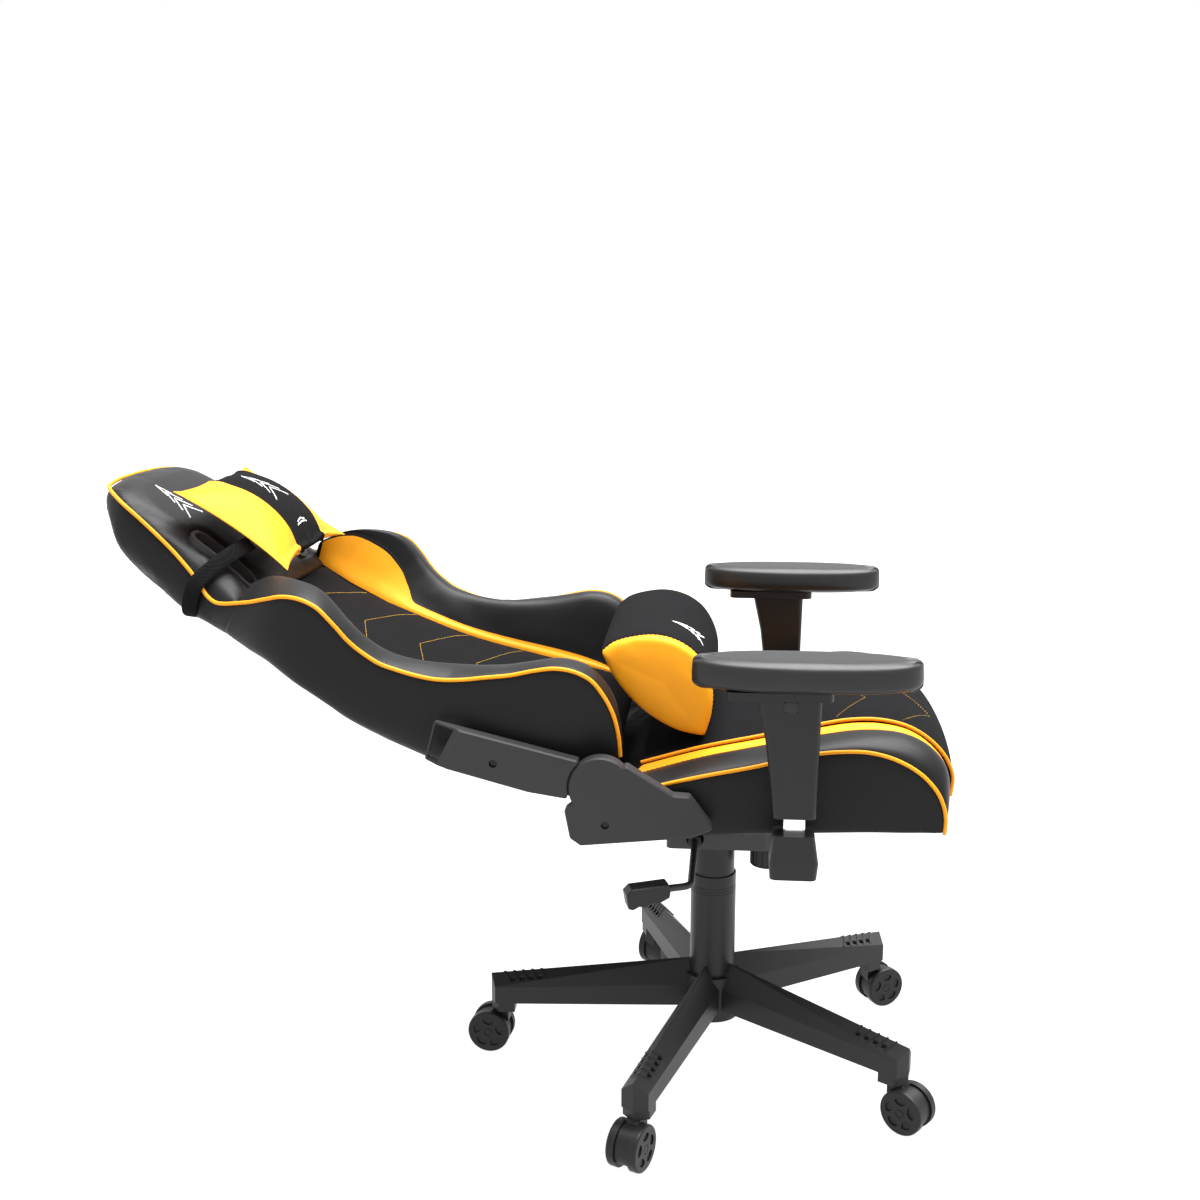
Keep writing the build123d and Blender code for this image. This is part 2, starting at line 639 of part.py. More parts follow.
make_star_base()
make_castors()
make_gas_lift()
make_column_covers()
make_mechanism()
make_tension_knob()
make_lever()
make_seat_structure()
make_seat_cushions()
make_recline_hinge()
make_recline_handle()
make_back_soft_parts()
make_belt_slots()
make_back_frame()
make_pillows()
make_head_strap()
make_armrest_supports()
make_armrest("left", lambda solid: [solid])
make_armrest("right", lambda solid: [mirror(solid, about=Plane.XZ)])

os.makedirs("parts", exist_ok=True)
for name, solids in parts.items():
    pieces = [piece for solid in solids for piece in solid.solids()]
    shape = pieces[0] if len(pieces) == 1 else Compound(pieces)
    export_step(shape, f"parts/{name}.step")
print(len(parts), "nodes written")
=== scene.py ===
# %% [markdown]
# # A reclining chair with a winged back, laid down on its rearmost stop
# The chair is built in two layers. The hard frame (castors, base, gas lift, recline hinge,
# armrests) comes ready-made and is only given finishes. Everything soft is made here: two
# cushions, four bolsters, a headrest, two loose pillows, a strap, piping, stitching and
# embroidery. The frame is loaded first, because every soft piece is placed against it.

# %% Load the frame
import json
import math

import bmesh
import bpy
import numpy as np
from mathutils import Matrix, Vector
from mathutils.bvhtree import BVHTree


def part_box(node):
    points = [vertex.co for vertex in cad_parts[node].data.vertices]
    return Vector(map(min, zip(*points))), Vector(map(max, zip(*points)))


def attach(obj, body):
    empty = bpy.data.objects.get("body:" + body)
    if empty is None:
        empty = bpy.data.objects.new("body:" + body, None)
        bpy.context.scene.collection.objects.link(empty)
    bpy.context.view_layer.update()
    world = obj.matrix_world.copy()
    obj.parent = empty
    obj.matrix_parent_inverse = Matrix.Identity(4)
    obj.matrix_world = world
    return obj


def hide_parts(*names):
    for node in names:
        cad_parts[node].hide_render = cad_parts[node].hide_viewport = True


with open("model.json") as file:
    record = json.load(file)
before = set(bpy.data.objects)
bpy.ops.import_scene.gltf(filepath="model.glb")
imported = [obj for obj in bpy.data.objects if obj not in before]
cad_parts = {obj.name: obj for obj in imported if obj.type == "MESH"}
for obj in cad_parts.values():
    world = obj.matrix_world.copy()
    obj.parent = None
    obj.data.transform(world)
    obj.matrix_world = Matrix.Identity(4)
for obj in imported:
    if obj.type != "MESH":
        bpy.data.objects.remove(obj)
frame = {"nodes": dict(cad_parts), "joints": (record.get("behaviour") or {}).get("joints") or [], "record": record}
nodes = frame["nodes"]
scene = bpy.context.scene
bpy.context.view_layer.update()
MM = 0.001

# %% [markdown]
# ## Camera
# The chair is seen from its right side, a little above seat height. A camera is an object
# with a lens: the place, the tilt down and the small turn to the left set the view.

# %% Camera
camera = bpy.data.objects.new("camera", bpy.data.cameras.new("camera"))
scene.collection.objects.link(camera)
camera.data.sensor_width = 36
camera.data.lens = 46.26
camera.location = (0.028, -2.044, 1.077)
camera.rotation_euler = (math.radians(90 - 11.49), 0, math.radians(5.24))
scene.camera = camera
print("camera lens", camera.data.lens, "mm")

# %% [markdown]
# ## Light
# Bright daylight from all sides, as inside a white cloth tent, with a broad sun almost
# straight overhead. Its wide angle keeps the shadows soft. Surfaces that face up get over
# three times the light of the sides, which is what turns the amber leather from orange on
# its sides to yellow on its tops.

# %% Surrounding light and overhead sun
ambient = bpy.data.worlds.new("white_tent")
ambient.use_nodes = True
ambient.node_tree.nodes["Background"].inputs["Color"].default_value = (1, 1, 1, 1)
ambient.node_tree.nodes["Background"].inputs["Strength"].default_value = 1.0
scene.world = ambient
scene.view_settings.view_transform = "Standard"
overhead = bpy.data.objects.new("overhead", bpy.data.lights.new("overhead", "SUN"))
overhead.data.energy = 11.0
overhead.data.angle = math.radians(60)
overhead.rotation_euler = (math.radians(-8), math.radians(10), 0)
scene.collection.objects.link(overhead)
print("sun strength:", overhead.data.energy)

# %% [markdown]
# ## Finishes
# A finish is a material made of nodes. Sums on values are easier to read as Python, so one
# small class wraps a node's socket and lets +, - and * make Math nodes. A second class
# holds the shader and makes every other kind of node through a single method.


# %% Sums on sockets
class Value:
    """One socket of a finish's node tree, which can be used in Python sums."""

    def __init__(self, tree, socket):
        self.tree = tree
        self.socket = socket

    def calculate(self, operation, *terms):
        node = self.tree.nodes.new("ShaderNodeMath")
        node.operation = operation
        for place, term in enumerate(terms):
            if isinstance(term, Value):
                self.tree.links.new(term.socket, node.inputs[place])
            else:
                node.inputs[place].default_value = term
        return Value(self.tree, node.outputs[0])

    def __add__(self, other):
        return self.calculate("ADD", self, other)

    def __sub__(self, other):
        return self.calculate("SUBTRACT", self, other)

    def __mul__(self, other):
        return self.calculate("MULTIPLY", self, other)

    __radd__ = __add__
    __rmul__ = __mul__

    def sine(self):
        return self.calculate("SINE", self)

    def size(self):
        return self.calculate("ABSOLUTE", self)


print("sums on sockets:", [name for name in vars(Value) if "_" not in name])


# %% One shader and its nodes
class Finish:
    """A material under construction."""

    def __init__(self, name, **constants):
        self.material = bpy.data.materials.new(name)
        self.material.use_nodes = True
        self.tree = self.material.node_tree
        self.tree.nodes.clear()
        self.shader = self.tree.nodes.new("ShaderNodeBsdfPrincipled")
        output = self.tree.nodes.new("ShaderNodeOutputMaterial")
        self.tree.links.new(self.shader.outputs[0], output.inputs[0])
        for socket_name, constant in constants.items():
            self.shader.inputs[socket_name.replace("_", " ")].default_value = constant

    def node(self, kind, settings=(), sockets=(), output=0):
        made = self.tree.nodes.new(kind)
        for setting, choice in dict(settings).items():
            setattr(made, setting, choice)
        for socket, term in dict(sockets).items():
            if isinstance(term, Value):
                self.tree.links.new(term.socket, made.inputs[socket])
            else:
                made.inputs[socket].default_value = term
        return Value(self.tree, made.outputs[output])

    def place(self):
        return self.node("ShaderNodeTexCoord", output="Object")

    def axis(self, place, name):
        return self.node("ShaderNodeSeparateXYZ", sockets={0: place}, output=name)

    def noise(self, place, per_metre, detail=2.0):
        return self.node("ShaderNodeTexNoise",
                         sockets={"Vector": place, "Scale": per_metre, "Detail": detail})

    def blend(self, first, second, share):
        return self.node("ShaderNodeMix", {"data_type": "RGBA"},
                         {0: share, 6: first, 7: second}, output=2)

    def feed(self, socket_name, value):
        self.tree.links.new(value.socket, self.shader.inputs[socket_name])

    def relief(self, height, depth_mm, strength=1.0):
        self.feed("Normal", self.node("ShaderNodeBump", sockets={
            "Height": height, "Strength": strength, "Distance": depth_mm * MM}))


def tone(colour, factor):
    return tuple(min(1.0, channel * factor) for channel in colour) + (1,)


print("a finish can:", [name for name in vars(Finish) if "_" not in name])


# %% [markdown]
# ## Leather, cloth, plastic and metal
# Artificial leather has a fine pebble grain: rounded cells about a millimetre wide with
# grooves between them, plus slow changes in tone and gloss where it has been handled. Cloth
# is two sets of threads crossing, which a product of two sine waves draws well. Moulded
# plastic is even in colour with a fine spark-eroded texture.


# %% Leather
def leather(name, colour, roughness, grain_mm, depth_mm, gloss=0.5):
    finish = Finish(name, Specular_IOR_Level=gloss)
    place = finish.place()
    cells = finish.node("ShaderNodeTexVoronoi", {"feature": "SMOOTH_F1"},
                        {"Vector": place, "Scale": 1 / (grain_mm * MM)})
    handled = finish.noise(place, 9, 4)
    pores = finish.noise(place, 520, 2)
    finish.feed("Base Color", finish.blend(tone(colour, 0.8), tone(colour, 1.2), handled))
    finish.feed("Roughness", roughness - 0.1 + handled * 0.2 + (pores - 0.5) * 0.1)
    finish.relief(cells + pores * 0.5, depth_mm)
    return finish.material


black_leather = leather("black_leather", (0.0065, 0.0065, 0.007), 0.42, 1.3, 0.10, 0.17)
yellow_leather = leather("yellow_leather", (0.80, 0.315, 0.012), 0.45, 1.2, 0.07, 0.12)
piping_leather = leather("piping_leather", (0.78, 0.29, 0.010), 0.42, 0.8, 0.04, 0.15)
print("leathers:", [m.name for m in (black_leather, yellow_leather, piping_leather)])


# %% Woven cloth
def woven(name, dark, light, pitch_mm, along, depth_mm=0.25):
    """Plain weave: one set of threads runs across the chair, the other along a direction."""
    finish = Finish(name, Roughness=0.9, Specular_IOR_Level=0.06)
    place = finish.place()
    turns = 2 * math.pi / (pitch_mm * MM)
    across = (finish.axis(place, "Y") * turns).sine()
    run = finish.node("ShaderNodeVectorMath", {"operation": "DOT_PRODUCT"},
                      {0: place, 1: along}, output="Value")
    over = across * (run * turns).sine()
    worn = finish.noise(place, 14, 3)
    share = over * 0.5 + 0.5
    finish.feed("Base Color", finish.blend(dark + (1,), light + (1,), share * (0.5 + worn * 0.5)))
    finish.relief(over.size() + share * 0.5, depth_mm)
    return finish.material


recline = next(j for j in frame["joints"] if j["name"] == "back_recline")
pivot = np.array(recline["pos_m"]) / MM
LAID_BACK = math.radians(27.5)
UP_BACK = np.array([-math.cos(LAID_BACK), 0, math.sin(LAID_BACK)])
OUT_FRONT = np.array([math.sin(LAID_BACK), 0, math.cos(LAID_BACK)])
CHAIR_LEFT = np.array([0.0, 1.0, 0.0])
centre_tones = (0.003, 0.003, 0.0035), (0.011, 0.011, 0.012)
pillow_tones = (0.002, 0.002, 0.0025), (0.013, 0.013, 0.014)
webbing_tones = (0.004, 0.004, 0.004), (0.013, 0.013, 0.014)
seat_cloth = woven("seat_cloth", *centre_tones, 2.4, (1, 0, 0))
back_cloth = woven("back_cloth", *centre_tones, 2.4, tuple(UP_BACK))
pillow_cloth = woven("pillow_cloth", *pillow_tones, 3.2, tuple(UP_BACK))
elastic = woven("elastic_webbing", *webbing_tones, 1.8, tuple(OUT_FRONT))
print("cloths:", [m.name for m in (seat_cloth, back_cloth, pillow_cloth, elastic)])


# %% Moulded plastic, wood, rubber and metal
def moulded(name, colour, roughness, texture_mm=0.9, depth_mm=0.05):
    finish = Finish(name, Specular_IOR_Level=0.28)
    place = finish.place()
    sparks = finish.noise(place, 1 / (texture_mm * MM), 2)
    rubbed = finish.noise(place, 6, 5)
    finish.feed("Base Color", finish.blend(tone(colour, 0.75), tone(colour, 1.3), rubbed))
    finish.feed("Roughness", roughness - 0.08 + rubbed * 0.16)
    finish.relief(sparks, depth_mm)
    return finish.material


def metal(name, colour, roughness, metallic=1.0):
    finish = Finish(name, Metallic=metallic)
    place = finish.place()
    brushed = finish.noise(place, 900, 1)
    smears = finish.noise(place, 20, 3)
    finish.feed("Base Color", finish.blend(tone(colour, 0.85), tone(colour, 1.1), smears))
    finish.feed("Roughness", roughness + smears * 0.12)
    finish.relief(brushed, 0.01)
    return finish.material


def plywood(name):
    finish = Finish(name, Specular_IOR_Level=0.3)
    place = finish.place()
    fibres = finish.noise(finish.node("ShaderNodeMapping", sockets={
        "Vector": place, "Scale": (6, 60, 260)}), 1, 4)
    stained = (0.012, 0.011, 0.010, 1), (0.03, 0.027, 0.024, 1)
    finish.feed("Base Color", finish.blend(*stained, fibres))
    finish.feed("Roughness", 0.55 + fibres * 0.2)
    finish.relief(fibres, 0.2)
    return finish.material


frame_finishes = {
    "base_plastic": moulded("base_plastic", (0.016, 0.0155, 0.0165), 0.44),
    "castor_plastic": moulded("castor_plastic", (0.009, 0.009, 0.0095), 0.42),
    "column_plastic": moulded("column_plastic", (0.013, 0.013, 0.014), 0.36, 0.7, 0.03),
    "cover_plastic": moulded("cover_plastic", (0.022, 0.0215, 0.023), 0.5),
    "arm_plastic": moulded("arm_plastic", (0.011, 0.011, 0.0115), 0.4),
    "pad_foam": moulded("pad_foam", (0.014, 0.014, 0.015), 0.4, 0.8, 0.06),
    "black_steel": metal("black_steel", (0.03, 0.03, 0.032), 0.4, 0.3),
    "polished_steel": metal("polished_steel", (0.95, 0.95, 0.96), 0.12),
    "plated_steel": metal("plated_steel", (0.03, 0.03, 0.032), 0.35),
    "nylon_bush": moulded("nylon_bush", (0.6, 0.58, 0.5), 0.5),
    "plywood": plywood("plywood"),
}
for part in frame["record"]["subparts"]:
    finish = frame_finishes.get(part["material_slot"])
    for surface in nodes[part["node"]].material_slots:
        surface.material = finish or black_leather
print("finishes:", len(bpy.data.materials))

# %% [markdown]
# ## Floor
# A white light table, large enough that its far edge lies on the horizon. Most of its
# brightness is its own, so it stays white where the chair shades it.

# %% Floor
floor_finish = Finish("studio_floor", Roughness=0.9, Specular_IOR_Level=0.1,
                      Emission_Color=(1, 1, 1, 1), Emission_Strength=0.96)
floor_speckle = floor_finish.noise(floor_finish.place(), 3, 3)
floor_finish.feed("Base Color", floor_finish.blend(
    (0.11, 0.11, 0.11, 1), (0.13, 0.13, 0.13, 1), floor_speckle))
FLOOR_REACH = 40
floor_mesh = bpy.data.meshes.new("floor")
floor_corners = [(-1, -1, 0), (1, -1, 0), (1, 1, 0), (-1, 1, 0)]
floor_mesh.from_pydata(floor_corners, [], [(0, 1, 2, 3)])
floor_mesh.transform(Matrix.Scale(FLOOR_REACH, 4))
floor_mesh.materials.append(floor_finish.material)
floor = bpy.data.objects.new("floor", floor_mesh)
scene.collection.objects.link(floor)
print("floor side:", 2 * FLOOR_REACH, "m")

# %% [markdown]
# ## Lines, skins and swelling
# Every padded piece is drawn the way an upholsterer drafts it: a few smooth seam lines along
# the piece, with a skin stretched across them. The lines become columns of the mesh, so a
# change of leather falls exactly on a seam. Then the cloth simulation blows the skin up a
# few millimetres while the seams are held, which gives the stuffed look between them.


# %% Smooth lines
def smooth(points, count):
    """Points at even steps along a smooth line through the given ones."""
    given = np.array(points, float)
    steps = np.linalg.norm(np.diff(given, axis=0), axis=1)
    at = np.concatenate([[0], np.cumsum(steps)])
    slope = np.gradient(given, at, axis=0)
    want = np.linspace(0, at[-1], count)
    cell = np.clip(np.searchsorted(at, want, side="right") - 1, 0, len(at) - 2)
    gap = (at[cell + 1] - at[cell])[:, None]
    x = (want - at[cell])[:, None] / gap
    return ((1 + 2 * x) * (1 - x) ** 2 * given[cell] + x * (1 - x) ** 2 * gap * slope[cell]
            + x ** 2 * (3 - 2 * x) * given[cell + 1] + x ** 2 * (x - 1) * gap * slope[cell + 1])


def value_at(points, where):
    """The second coordinate of a smooth line at given values of its first."""
    line = smooth(points, 400)
    order = np.argsort(line[:, 0])
    return np.interp(where, line[order, 0], line[order, 1])


def on_seat(x, y, z):
    """Points in metres from millimetres."""
    return np.stack(np.broadcast_arrays(x, y, z), -1) * MM


def on_back(u, y, v):
    """Points in metres from millimetres up the back, to its left and out of its front."""
    u, y, v = (np.asarray(c, float)[..., None] for c in np.broadcast_arrays(u, y, v))
    return (pivot + u * UP_BACK + v * OUT_FRONT + y * CHAIR_LEFT) * MM


print("recline pivot, mm:", pivot)


# %% A skin over rings of points
def skin(name, points, faces, *finishes):
    mesh = bpy.data.meshes.new(name)
    mesh.from_pydata([tuple(p) for p in points], [], faces)
    shape = bmesh.new()
    shape.from_mesh(mesh)
    bmesh.ops.remove_doubles(shape, verts=shape.verts, dist=1e-6)
    bmesh.ops.recalc_face_normals(shape, faces=shape.faces)
    shape.to_mesh(mesh)
    shape.free()
    mesh.shade_smooth()
    for finish in finishes:
        mesh.materials.append(finish)
    piece = bpy.data.objects.new(name, mesh)
    scene.collection.objects.link(piece)
    return piece


def loft(name, rings, *finishes, cap_steps=4):
    """A closed skin over rings, its ends filled by rings that shrink to one point."""
    rings = np.array(rings)
    around = rings.shape[1]
    middles = rings[0].mean(0), rings[-1].mean(0)
    shares = np.arange(1, cap_steps) / cap_steps
    first = [middles[0] + (rings[0] - middles[0]) * share for share in shares]
    last = [middles[1] + (rings[-1] - middles[1]) * share for share in shares[::-1]]
    stack = np.concatenate([first, rings, last])
    points = np.concatenate([stack.reshape(-1, 3), middles])
    faces = []
    for row in range(len(stack) - 1):
        for side in range(around):
            after = (side + 1) % around
            base = row * around
            faces.append((base + side, base + after, base + around + after, base + around + side))
    end = (len(stack) - 1) * around
    for side in range(around):
        after = (side + 1) % around
        faces.append((len(points) - 2, after, side))
        faces.append((len(points) - 1, end + side, end + after))
    return skin(name, points, faces, *finishes)


print("skins are closed by loft and drawn by skin")

# %% Swelling with the cloth simulation
def corners(piece):
    flat = np.zeros(len(piece.data.vertices) * 3)
    piece.data.vertices.foreach_get("co", flat)
    return flat.reshape(-1, 3)


def set_corners(piece, points):
    piece.data.vertices.foreach_set("co", np.asarray(points, np.float32).ravel())
    piece.data.update()


def distance_to(points, line):
    """How far each point is from a line given as many points."""
    nearest = np.full(len(points), 1e9)
    for station in np.array(line).reshape(-1, 3):
        nearest = np.minimum(nearest, np.linalg.norm(points - station, axis=1))
    return nearest


def near(points, line, reach_mm):
    """Which points lie within reach of a line."""
    return distance_to(points, line) < reach_mm * MM


def swell(piece, pressure, limit_mm, held=None, frames=20):
    """Inflates the skin; held corners stay, and no corner moves further than the limit."""
    start = corners(piece)
    cloth = piece.modifiers.new("stuffing", "CLOTH")
    cloth.settings.use_pressure = True
    cloth.settings.uniform_pressure_force = pressure
    cloth.settings.quality = 4
    cloth.settings.effector_weights.gravity = 0
    cloth.collision_settings.use_collision = False
    if held is not None and held.any():
        group = piece.vertex_groups.new(name="held")
        group.add([int(i) for i in np.flatnonzero(held)], 1.0, "REPLACE")
        cloth.settings.vertex_group_mass = "held"
    for frame_number in range(1, frames + 1):
        scene.frame_set(frame_number)
    swollen = piece.evaluated_get(bpy.context.evaluated_depsgraph_get()).to_mesh()
    moved = np.zeros(len(swollen.vertices) * 3)
    swollen.vertices.foreach_get("co", moved)
    piece.modifiers.remove(cloth)
    scene.frame_set(1)
    piece.vertex_groups.clear()
    step = moved.reshape(-1, 3) - start
    length = np.linalg.norm(step, axis=1, keepdims=True)
    step *= np.minimum(1, limit_mm * MM / np.maximum(length, 1e-9))
    set_corners(piece, start + step)
    furthest = round(float(length.max() / MM), 1)
    print(piece.name, "swollen by up to", furthest, "mm, kept to", limit_mm)


print("soft tools:", [tool.__name__ for tool in (corners, near, swell)])


# %% Baking modifiers, and seams
def bake(piece):
    """Turns a piece and its modifiers into a plain mesh."""
    depsgraph = bpy.context.evaluated_depsgraph_get()
    mesh = bpy.data.meshes.new_from_object(piece.evaluated_get(depsgraph), depsgraph=depsgraph)
    piece.modifiers.clear()
    piece.data = mesh
    mesh.name = piece.name
    return piece


def divide(piece):
    """One step of subdivision, baked in."""
    rounding = piece.modifiers.new("rounding", "SUBSURF")
    rounding.levels = rounding.render_levels = 1
    return bake(piece)


def pull_seam(piece, line, width_mm, depth_mm):
    """Draws the skin in along a seam, deepest at the thread."""
    points = corners(piece)
    normals = np.zeros(len(points) * 3)
    piece.data.vertices.foreach_get("normal", normals)
    depth = depth_mm * MM * np.exp(-(distance_to(points, line) / (width_mm * MM)) ** 2)
    set_corners(piece, points - normals.reshape(-1, 3) * depth[:, None])


def lay_on(pieces, line, lift_mm=0.0):
    """A line moved onto the nearest of the pieces, with the way the surface faces there."""
    depsgraph = bpy.context.evaluated_depsgraph_get()
    surfaces = [BVHTree.FromObject(piece, depsgraph) for piece in pieces]
    place, facing = [], []
    for station in line:
        found = min((s.find_nearest(Vector(station)) for s in surfaces), key=lambda hit: hit[3])
        place.append(found[0] + found[1] * lift_mm * MM)
        facing.append(found[1])
    return np.array(place), np.array(facing)


def settle(piece, body, slot, replaced=(), fill=None):
    """Ties a finished piece to its body and hides the frame nodes it stands for."""
    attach(piece, body)
    if replaced:
        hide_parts(*replaced)
    print(piece.name, len(piece.data.polygons), "faces on", body)
    return piece


def by_column(piece, rings, first, last, finish_index):
    """Gives the faces between two columns of a fresh loft another finish."""
    around = rings.shape[1]
    for polygon in piece.data.polygons:
        sides = sorted(v % around for v in polygon.vertices)
        if sides[0] >= first and sides[-1] <= last and sides[-1] - sides[0] == 1:
            polygon.material_index = finish_index


print("seam tools:", [tool.__name__ for tool in (divide, pull_seam, lay_on, settle)])


# %% [markdown]
# ## Piping and stitches
# Piping and thread follow a line, so Geometry Nodes make them. One small class builds a tree
# with named inputs. The piping tree sweeps a circle along the line. The thread tree sets one
# small oval stitch after another, turned along the line and laid flat on the surface, whose
# direction comes with the line as an attribute.


# %% Geometry Nodes helper
class Recipe:
    """A Geometry Nodes tree with named inputs, baked into plain meshes."""

    def __init__(self, name, **inputs):
        self.tree = bpy.data.node_groups.new(name, "GeometryNodeTree")
        face = self.tree.interface
        face.new_socket("Geometry", in_out="INPUT", socket_type="NodeSocketGeometry")
        self.names = {}
        for label, kind in inputs.items():
            self.names[label] = face.new_socket(label, in_out="INPUT", socket_type=kind).identifier
        face.new_socket("Geometry", in_out="OUTPUT", socket_type="NodeSocketGeometry")
        self.given = self.tree.nodes.new("NodeGroupInput").outputs

    def node(self, kind, settings=(), sockets=()):
        made = self.tree.nodes.new(kind)
        for setting, choice in dict(settings).items():
            setattr(made, setting, choice)
        for socket, term in dict(sockets).items():
            if isinstance(term, bpy.types.NodeSocket):
                self.tree.links.new(term, made.inputs[socket])
            else:
                made.inputs[socket].default_value = term
        return made.outputs[0]

    def end(self, geometry, finish):
        real = self.node("GeometryNodeRealizeInstances", sockets={0: geometry})
        smooth_faces = self.node("GeometryNodeSetShadeSmooth", sockets={0: real})
        painted = self.node("GeometryNodeSetMaterial",
                            sockets={0: smooth_faces, "Material": finish})
        result = self.tree.nodes.new("NodeGroupOutput")
        self.tree.links.new(painted, result.inputs[0])

    def make(self, name, lines, facings=None, **values):
        """Bakes the tree over open lines of points, all in one mesh."""
        points = np.concatenate(lines)
        edges, start = [], 0
        for line in lines:
            edges += [(start + i, start + i + 1) for i in range(len(line) - 1)]
            start += len(line)
        mesh = bpy.data.meshes.new(name)
        mesh.from_pydata([tuple(p) for p in points], edges, [])
        if facings is not None:
            facing = mesh.attributes.new("facing", "FLOAT_VECTOR", "POINT")
            facing.data.foreach_set("vector", np.concatenate(facings).astype(np.float32).ravel())
        piece = bpy.data.objects.new(name, mesh)
        scene.collection.objects.link(piece)
        maker = piece.modifiers.new("maker", "NODES")
        maker.node_group = self.tree
        for label, value in values.items():
            maker[self.names[label]] = value
        return bake(piece)


print("a recipe can:", [name for name in vars(Recipe) if "_" not in name])

# %% The piping tree and the stitch tree
welt = Recipe("welt", Radius="NodeSocketFloat", Finish="NodeSocketMaterial")
welt_line = welt.node("GeometryNodeMeshToCurve", sockets={0: welt.given["Geometry"]})
welt_ring = welt.node("GeometryNodeCurvePrimitiveCircle",
                      sockets={"Resolution": 12, "Radius": welt.given["Radius"]})
welt_tube = welt.node("GeometryNodeCurveToMesh",
                      sockets={"Curve": welt_line, "Profile Curve": welt_ring, "Fill Caps": True})
welt.end(welt_tube, welt.given["Finish"])

thread = Recipe("thread", Spacing="NodeSocketFloat", Size="NodeSocketVector",
                Finish="NodeSocketMaterial")
thread_line = thread.node("GeometryNodeMeshToCurve", sockets={0: thread.given["Geometry"]})
thread_steps = thread.node("GeometryNodeResampleCurve", {"mode": "LENGTH"},
                           {"Curve": thread_line, "Length": thread.given["Spacing"]})
thread_bead = thread.node("GeometryNodeMeshUVSphere",
                          sockets={"Segments": 8, "Rings": 5, "Radius": 0.5})
surface_way = thread.node("GeometryNodeInputNamedAttribute", {"data_type": "FLOAT_VECTOR"},
                          {"Name": "facing"})
lying = thread.node("FunctionNodeAlignRotationToVector", {"axis": "Z"}, {"Vector": surface_way})
heading = thread.node("FunctionNodeAlignRotationToVector", {"axis": "X", "pivot_axis": "Z"},
                      {"Rotation": lying, "Vector": thread.node("GeometryNodeInputTangent")})
thread_set = thread.node("GeometryNodeInstanceOnPoints", sockets={
    "Points": thread_steps, "Instance": thread_bead, "Rotation": heading,
    "Scale": thread.given["Size"]})
thread.end(thread_set, thread.given["Finish"])


def thread_finish(name, colour):
    finish = Finish(name, Specular_IOR_Level=0.3)
    ply = (finish.axis(finish.place(), "X") * 5200 + finish.axis(finish.place(), "Z") * 5200).sine()
    finish.feed("Base Color", finish.blend(tone(colour, 0.75), tone(colour, 1.1), ply * 0.5 + 0.5))
    finish.feed("Roughness", ply * 0.1 + 0.6)
    return finish.material


yellow_thread = thread_finish("yellow_thread", (0.85, 0.50, 0.03))
black_thread = thread_finish("black_thread", (0.03, 0.03, 0.032))
white_thread = thread_finish("white_thread", (0.9, 0.9, 0.9))


def stitch(name, pieces, lines, body, finish, slot="sewing_thread", pitch_mm=5.0,
           size_mm=(3.6, 0.8, 0.6), lift_mm=0.1):
    laid = [lay_on(pieces, line, lift_mm) for line in lines]
    piece = thread.make(name, [p for p, _ in laid], [f for _, f in laid],
                        Spacing=pitch_mm * MM, Size=tuple(s * MM for s in size_mm), Finish=finish)
    return settle(piece, body, slot)


def pipe(name, lines, body, radius_mm=2.6):
    piece = welt.make(name, lines, Radius=radius_mm * MM, Finish=piping_leather)
    return settle(piece, body, "piping_cord")


print("recipes:", [tree.name for tree in bpy.data.node_groups])

# %% [markdown]
# ## Seat
# The seat is a woven centre cushion between two leather bolsters. The centre is deepest at
# the back and rolls over the front edge. Each bolster starts at the centre's seam with a
# yellow strip, rises to a crown, drops to the side piping and carries on down the side to
# the bottom of the seat.

# %% Seat centre
SEAT_SEAM_Y = 165
seat_seam_profile = smooth([(-92, 483), (-17, 505), (58, 522), (132, 539), (169, 546), (206, 547),
                            (244, 538), (272, 520), (290, 499), (299, 476), (298, 454)], 66)
seat_crown_profile = smooth([(-92, 487), (-17, 509), (58, 527), (132, 543), (190, 552), (236, 549),
                             (272, 536), (295, 512), (305, 484), (301, 455)], 66)
seat_under_profile = np.array([(282, 446), (262, 443), (200, 440), (120, 436), (40, 431),
                               (-40, 427), (-110, 424), (-149, 423), (-149, 443), (-128, 443),
                               (-113, 449), (-101, 460), (-95, 471)])
seat_rings = []
for y in np.linspace(-SEAT_SEAM_Y, SEAT_SEAM_Y, 43):
    crown = (1 - (abs(y) / SEAT_SEAM_Y) ** 2.4) ** 0.8
    top = seat_seam_profile + (seat_crown_profile - seat_seam_profile) * crown
    ring_line = np.concatenate([top, seat_under_profile])
    seat_rings.append(on_seat(ring_line[:, 0], y, ring_line[:, 1]))
seat_centre = loft("seat_centre", seat_rings, seat_cloth)
held = np.abs(np.abs(corners(seat_centre)[:, 1]) - SEAT_SEAM_Y * MM) < 1 * MM
held |= corners(seat_centre)[:, 2] < 450 * MM
swell(seat_centre, 3.0, 4, held)
divide(seat_centre)
settle(seat_centre, "seat", "centre_fabric", ["seat_cushion"], fill=0.75)

